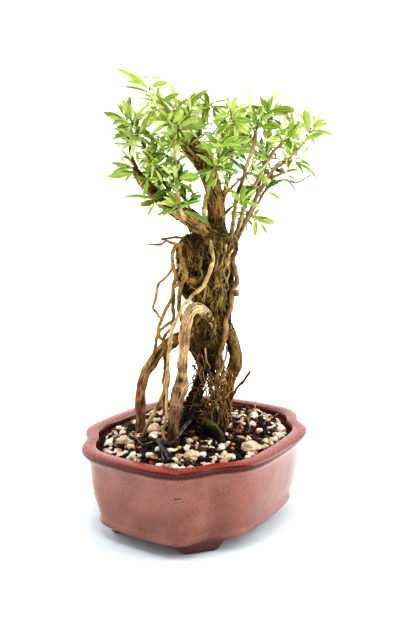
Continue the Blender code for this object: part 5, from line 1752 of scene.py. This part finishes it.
    def build(self) -> None:
        """Every tuft as one piece that stands for its CAD node, then the leaves between and their twigs."""
        finish = SerissaLeaf().build()
        for name, rows in TUFTS.items():
            place, *leaves = numbers(rows)
            tuft = self.tuft(name, place, leaves).gather(f"{name}_spray")
            hand_over(tuft, finish, "leaf", f"leaves_{name}", angle=50)
        for name, pile in (("shoot_joint_leaves", self.joints()), ("side_twig_leaves", self.nests())):
            hand_over(pile.gather(name), finish, "leaf", angle=50)
        stems = tubes("sprig_stems", self.twigs, 1)
        Grain(self.twigs).carve(stems, carved=False)
        green = Bark("green sprig bark", contrast=0.3, depth_mm=0.1, streak_mm=0.6)
        hand_over(stems, green.build(), "young_bark")


# ---------------------------------------------------------------- wire and screens

@dataclass
class Hardware:
    """The anchor wire through the root ball, and the screens and clips over the drain holes. Millimetres."""

    pot: Pot
    radius: float = 1.3
    screen_side: float = 28.0
    screen_cells: int = 9
    gap: float = 0.3
    bend: float = 2.5
    twist_steps: int = 12
    twist: Rows = numbers("-21.5 -35 61.5, -15.2 -63 58.6")
    # From its first twisted end down to the soil, up round the roots, and over them to its other end.
    down: Rows = numbers("-22.5 -33 58, -20 -32 52, -12 -34 45")
    over: Rows = numbers("14 -14 46, 6 -14 60, 1 -17.5 68, -3.5 -21 69.7, -5.5 -26 68.7, -9.4 -34 65.8, "
                         "-13.5 -41.5 62.6, -16.5 -42.5 61.6, -19 -39.5 61.2")

    def route(self) -> list[Vector]:
        """The wire's way: twisted end, under the floor through both holes, over the root, twisted end."""
        cell = self.screen_side / self.screen_cells
        under = self.pot.body_bottom - self.gap - self.radius
        left, right = -self.pot.hole_place + cell, self.pot.hole_place - cell
        start, end = (tree_mm(*place) for place in self.twist)
        along = (end - start).normalized()
        sideways = along.cross(UP).normalized()
        upright = sideways.cross(along)

        def strand(side: int) -> list[Vector]:
            """One of the two ends, turned half round the other."""
            line = []
            for step in range(self.twist_steps + 1):
                share = step / self.twist_steps
                lean = sideways * math.cos(math.pi * share) + upright * math.sin(math.pi * share)
                line.append(start.lerp(end, share) + lean * side * (self.radius + 0.05) + upright * 0.5)
            return line

        nearly, low = self.bend / 4, under + self.bend
        through = ((left, 34), (left, 22), (left, low), (left + nearly, under + nearly),
                   (left + self.bend, under), (0, under), (right - self.bend, under),
                   (right - nearly, under + nearly), (right, low), (right, 22), (right, 34))
        return (strand(-1)[::-1] + [tree_mm(*place) for place in self.down]
                + [Vector((x, -cell, up)) for x, up in through] + [tree_mm(*place) for place in self.over]
                + strand(1))

    def build(self) -> None:
        """Draws the wire and dresses what lies over the drain holes."""
        finish, plastic = BONSAI_WIRE.build(), SCREEN_PLASTIC.build()
        wire = tubes("tie_wire", [Limb(Skin.DRY, [(place, self.radius) for place in self.route()])], 4)
        hand_over(wire, finish, "dark_wire", "anchor_wire", angle=60)
        for side in ("left", "right"):
            for node, material in ((f"drainage_screen_{side}", plastic), (f"screen_clip_{side}", finish)):
                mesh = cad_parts[node].data
                mesh.materials.clear()
                mesh.materials.append(material)
                LOG.info("%s: dressed", node)


# ---------------------------------------------------------------- the room

@dataclass(frozen=True)
class Studio:
    """A white sweep under broad soft lights, and the camera. Metres and degrees."""

    eye: tuple[float, float, float] = (-0.3618, -0.2364, 0.1954)
    heading: float = 57.78
    pitch: float = 8.52
    lens: float = 40.4
    sensor: float = 36.0
    paper: Stops = ((0.3, "#DCE8ED"), (0.7, "#E6EFF3"))
    # how strongly the paper glows as painted light, beside the pot and far from it
    glow: tuple[float, float] = (0.02, 0.9)
    ambient: float = 0.3
    white: float = 1.06                             # how brightly the wall and the surround are seen
    look: str = "High Contrast"
    wall_place: float = 2.2
    aim: tuple[float, float, float] = (0, 0, 0.13)  # what the lamps look at
    reach: float = 1.1                              # how far they stand from it
    # Each lamp: name, bearing from the camera, height angle, width in metres, watts.
    lamps: tuple[tuple[str, float, float, float, float], ...] = (
        ("right_box", -92, 22, 1.1, 14.0), ("left_box", 98, 22, 1.0, 7.0), ("top_box", 10, 68, 0.3, 4.5))

    def camera(self) -> None:
        """Sets the camera."""
        camera = primitive(bpy.ops.object.camera_add, location=self.eye,
                           rotation=(math.radians(90 - self.pitch), 0, math.radians(-self.heading)))
        camera.name = "camera"
        camera.data.lens, camera.data.sensor_width, camera.data.clip_start = self.lens, self.sensor, 0.01
        bpy.context.scene.camera = camera

    def lamp(self, name: str, side: float, height: float, size: float, power: float) -> None:
        """One soft box that looks at the tree.

        Args:
            name: its name.
            side: its bearing in degrees from the camera's, clockwise as seen from above, so to its left.
            height: its height angle in degrees.
            size: its width in metres.
            power: in watts.
        """
        bearing, rise = math.radians(self.heading + 180 + side), math.radians(height)
        level = math.cos(rise)
        away = Vector((math.sin(bearing) * level, math.cos(bearing) * level, math.sin(rise)))
        lamp = primitive(bpy.ops.object.light_add, type="AREA", location=Vector(self.aim) + away * self.reach)
        lamp.name = name
        lamp.data.shape, lamp.data.size, lamp.data.energy = "SQUARE", size, power
        lamp.rotation_mode = "QUATERNION"
        lamp.rotation_quaternion = away.to_track_quat("Z", "Y")

    def floor(self) -> None:
        """White paper that glows as painted light: faintly beside the pot and fully further out, so that it
        stays white up to the pot's shadow and looks shaded round the pot.
        """
        floor = settle(primitive(bpy.ops.mesh.primitive_plane_add, size=8), "studio_floor")
        canvas = Canvas("white paper sweep")
        add, at = canvas.add, canvas.at
        tooth = add("TexNoise", {"Vector": at, "Scale": per_mm(6.0), "Detail": 3.0})
        far = add("VectorMath", (at,), out="Value", operation="LENGTH")
        floor.data.materials.append(canvas.shade({
            "Base Color": add("ValToRGB", (tooth,), self.paper), "Roughness": 0.9, "Specular IOR Level": 0.1,
            "Emission Color": "#FFFFFF",
            # Painted light: the paper glows, least beside the pot, so the floor round it reads as shaded.
            "Emission Strength": add("MapRange", (far, 0.085, 0.26, *self.glow))}))

    def backdrop(self) -> None:
        """The white wall behind the tree, lit so evenly that it glows."""
        bearing = math.radians(self.heading)
        place = (self.wall_place * math.sin(bearing), self.wall_place * math.cos(bearing), 0)
        wall = settle(primitive(bpy.ops.mesh.primitive_plane_add, size=6, location=place,
                                rotation=(math.radians(90), 0, -bearing)), "studio_backdrop")
        canvas = Canvas("lit white wall")
        tooth = canvas.add("TexNoise", {"Vector": canvas.at, "Scale": per_mm(40.0)})
        glow = canvas.add("MapRange", {0: tooth, 3: 1.02, 4: self.white})
        wall.data.materials.append(canvas.shade({"Emission Color": "#FFFFFF", "Emission Strength": glow}))

    def build(self) -> None:
        """Camera, floor, wall, lights and the white surround."""
        self.camera()
        self.floor()
        self.backdrop()
        for lamp in self.lamps:
            self.lamp(*lamp)
        world = bpy.data.worlds.new("white surround")
        world.use_nodes = True
        # The surround looks as white as the wall from every side, and lights the tree only faintly.
        seen = add_node(world.node_tree, "LightPath", out="Is Camera Ray")
        strength = add_node(world.node_tree, "MapRange", {0: seen, 3: self.ambient, 4: self.white})
        plug(world.node_tree.nodes["Background"], {"Color": "#FFFFFF", "Strength": strength})
        scene = bpy.context.scene
        scene.world = world
        scene.view_settings.view_transform, scene.view_settings.look = "Standard", self.look


def main() -> None:
    """Builds the scene: the room, the pot and its soil, the tree, and the wire."""
    logging.basicConfig(level=logging.INFO, format="%(name)s: %(message)s")
    noise.seed_set(NOISE_SEED)
    Studio().build()
    pot = Pot()
    pot.build()
    soil = Soil(pot)
    soil.build()
    Nuggets(soil).build()
    Tree(soil).build()
    limbs = Shoots().build()
    Foliage(limbs).build()
    Hardware(pot).build()


if __name__ == "__main__":
    main()
